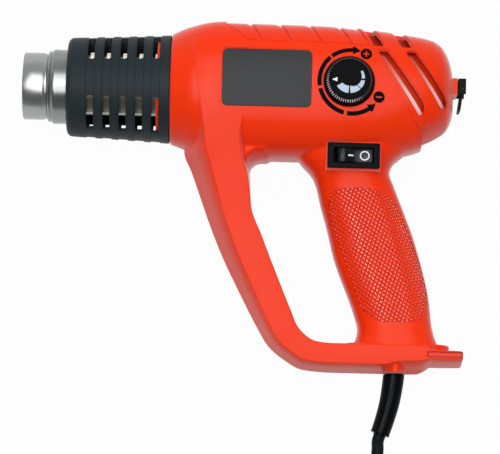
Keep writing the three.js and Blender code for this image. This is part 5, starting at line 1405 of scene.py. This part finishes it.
class HOTAIR_OT_fittings(bpy.types.Operator):
    """Label plate, strain relief, hang bracket, loop and screws"""

    bl_idname = "hotair.fittings"
    bl_label = "Fittings"

    def execute(self, context):
        plate = cut(within(label_prism(), body_form(0.25)), body_form(1.35))
        grey = moulded("label_plate", colours().label, 0.45, 0.012, 2600, 0.05)
        piece("bare_plate", plate, grey, replaces=["label_plate"])
        self.relief()
        black = moulded("bracket_plastic", colours().black, 0.45, 0.02, 1700, 0.06, specular=0.06)
        bracket = from_node("hang_bracket", 0.45, 3)
        piece("loop_bracket", bracket, black, replaces=["hang_bracket"])
        loop = from_node("hang_loop", 0.35, 3)
        piece("swing_loop", loop, black, body="hang_loop", replaces=["hang_loop"])
        self.screws()
        return {"FINISHED"}

    def relief(self):
        """The rubber sleeve, from its collar in the foot to its open end round the cord."""
        path = [(ENTRY_U, FOOT_W + 7.2, 8), (ENTRY_U, FOOT_W + 4.8, 8), (ENTRY_U, FOOT_W + 4.75, 5.6),
                (ENTRY_U, FOOT_W - 0.5, 5.6)]
        sections = [(ENTRY_U - lean, FOOT_W - drop, radius) for lean, drop, radius in RELIEF_SECTIONS[:5]]
        rows = path + refined(sections, 1.6)
        lean, drop, _ = RELIEF_SECTIONS[4]
        end_u, end_w = ENTRY_U - lean, FOOT_W - drop
        way = Vector((-0.32, -0.95)).normalized()
        rows += [
            (end_u + way.x * d, end_w + way.y * d, r)
            for d, r in ((0.6, 5.55), (1.2, 5.6), (1.6, 5.45), (1.8, 5), (1.8, 3.65), (2.5, 3.6))
        ]
        rings = []
        for i, (u, w, radius) in enumerate(rows):
            ahead = Vector((0, -1))
            if i > len(path):
                before, after = rows[max(i - 3, 0)], rows[min(i + 3, len(rows) - 1)]
                ahead = Vector((after[0] - before[0], after[1] - before[1])).normalized()
            rings.append([
                (u - ahead.y * side, w + ahead.x * side, radius * math.sin(a))
                for a, side in ((a, radius * math.cos(a)) for a in (2 * math.pi * k / 48 for k in range(48)))
            ])
        rubber = moulded("relief_rubber", colours().relief, 0.15, 0.012, 700, 0.08, specular=0.05)
        piece("cord_sleeve", loft(rings), rubber, replaces=["strain_relief"])

    def screws(self):
        zinc = metal("screw_zinc", linear("#8d8f8e"), 0.32, stretch=(1, 1, 1), scale=40)
        for number, u, w, head, tip, radius in screw_places():
            profile = [
                (head + 0.5, 0), (head + 0.25, 0.35 * radius), (head, 0.65 * radius),
                (head + 0.25, 0.91 * radius), (head + 0.8, radius), (head + 2.4, radius), (head + 2.4, 1.7),
                (tip - 1, 1.7), (tip, 0.4), (tip, 0),
            ]
            bm = turned(profile, "v", (u, w, 0), 40)
            reach = 0.56 * radius
            arms = [
                block(u - a, u + a, w - b, w + b, head - 1, head + 1.5)
                for a, b in ((reach, 0.38), (0.38, reach))
            ]
            bm = cut(bm, *arms)
            piece(f"cross_screw_{number}", bm, zinc, replaces=[f"housing_screw_{number}"])


# Finishes of inner solids: maker, name, colour, roughness and what follows it, and the nodes that have it
INNER_FINISHES = (
    (moulded, "ceramic", "#d8d2c4", (0.75, 0.03, 1200, 0.06), "heater_base"),
    (metal, "heater_wire", "#8b857c", (0.4,), "heater_winding"),
    (metal, "zinc_steel", "#9b9d9c", (0.34,), """
        thermal_cutout motor_can motor_shaft potentiometer triac_heatsink clamp_screw_1 clamp_screw_2
        board_screw_1 board_screw_2 bracket_screw"""),
    (metal, "brass", "#b79a56", (0.32,), "switch_terminal_1 switch_terminal_2"),
    (moulded, "inner_black", "#1c2023", (0.5,), """
        impeller motor_end_cap motor_magnet dial_spindle rectifier cord_clamp hang_pin"""),
    (moulded, "duct_plastic", "#2a2e31", (0.55,), "fan_duct"),
    (moulded, "board_green", "#2f6a3c", (0.45, 0.01, 900, 0.1), "control_board"),
    (moulded, "capacitor_film", "#b8372b", (0.35,), "capacitor"),
    (metal, "armature_copper", "#a4673c", (0.38, (1, 4, 4)), "motor_armature"),
    (moulded, "lead_brown", "#6d4228", (0.45,), "lead_live"),
    (moulded, "lead_blue", "#3d5f9e", (0.45,), "lead_neutral"),
    (moulded, "lead_white", "#d9d5cb", (0.6,), "heater_lead_1"),
    (moulded, "lead_white_2", "#d4d0c6", (0.6,), "heater_lead_2"),
)


class HOTAIR_OT_inside(bpy.types.Operator):
    """Finishes of the solids that stay as they are, most of them inside"""

    bl_idname = "hotair.inside"
    bl_label = "Inside"

    def execute(self, context):
        finishes = [
            (make(name, linear(code), *settings), nodes)
            for make, name, code, settings, nodes in INNER_FINISHES
        ]
        finishes.append((self.mica(), "mica_sleeve mica_cross"))
        finishes.append((moulded("sheath_pvc", colours().cord, 0.42), "cord_sheath_end"))
        for material, nodes in finishes:
            for name in nodes.split():
                slots = frame["nodes"][name].material_slots
                if not slots:
                    raise RuntimeError(f"{name} has no material slot")
                for each in slots:
                    each.material = material
        return {"FINISHED"}

    def mica(self):
        """Flaky mica sheet."""
        f = Finish("mica_sheet")
        flakes = f.node("TexVoronoi", inputs={"Vector": f.place(), "Scale": 420.0})
        drift = f.noise(80, 4)
        tint = f.between(linear("#8c7d5c"), linear("#cdbf9c"), flakes * 0.5 + drift * 0.5)
        return f.set(Base_Color=tint, Roughness=(drift - 0.5) * 0.2 + 0.45, Normal=f.bump(flakes, 0.02))


CLASSES = (
    HotAirSizes, HotAirColours, HOTAIR_OT_stage, HOTAIR_OT_cord, HOTAIR_OT_housing, HOTAIR_OT_barrel,
    HOTAIR_OT_dial, HOTAIR_OT_switch, HOTAIR_OT_fittings, HOTAIR_OT_inside,
)
STEPS = ("stage", "cord", "housing", "barrel", "dial", "switch", "fittings", "inside")


class HOTAIR_PT_panel(bpy.types.Panel):
    """Steps of the hot air tool"""

    bl_idname = "HOTAIR_PT_panel"
    bl_label = "Hot air tool"
    bl_space_type = "VIEW_3D"
    bl_region_type = "UI"
    bl_category = "Hot air tool"

    def draw(self, context):
        for step in STEPS:
            self.layout.operator("hotair." + step)


def register():
    for each in (*CLASSES, HOTAIR_PT_panel):
        bpy.utils.register_class(each)
    bpy.types.Scene.hot_air_sizes = bpy.props.PointerProperty(type=HotAirSizes)
    bpy.types.Scene.hot_air_colours = bpy.props.PointerProperty(type=HotAirColours)


def unregister():
    del bpy.types.Scene.hot_air_colours
    del bpy.types.Scene.hot_air_sizes
    for each in reversed((*CLASSES, HOTAIR_PT_panel)):
        bpy.utils.unregister_class(each)


def main():
    register()
    for step in STEPS:
        getattr(bpy.ops.hotair, step)()


if __name__ == "__main__":
    main()
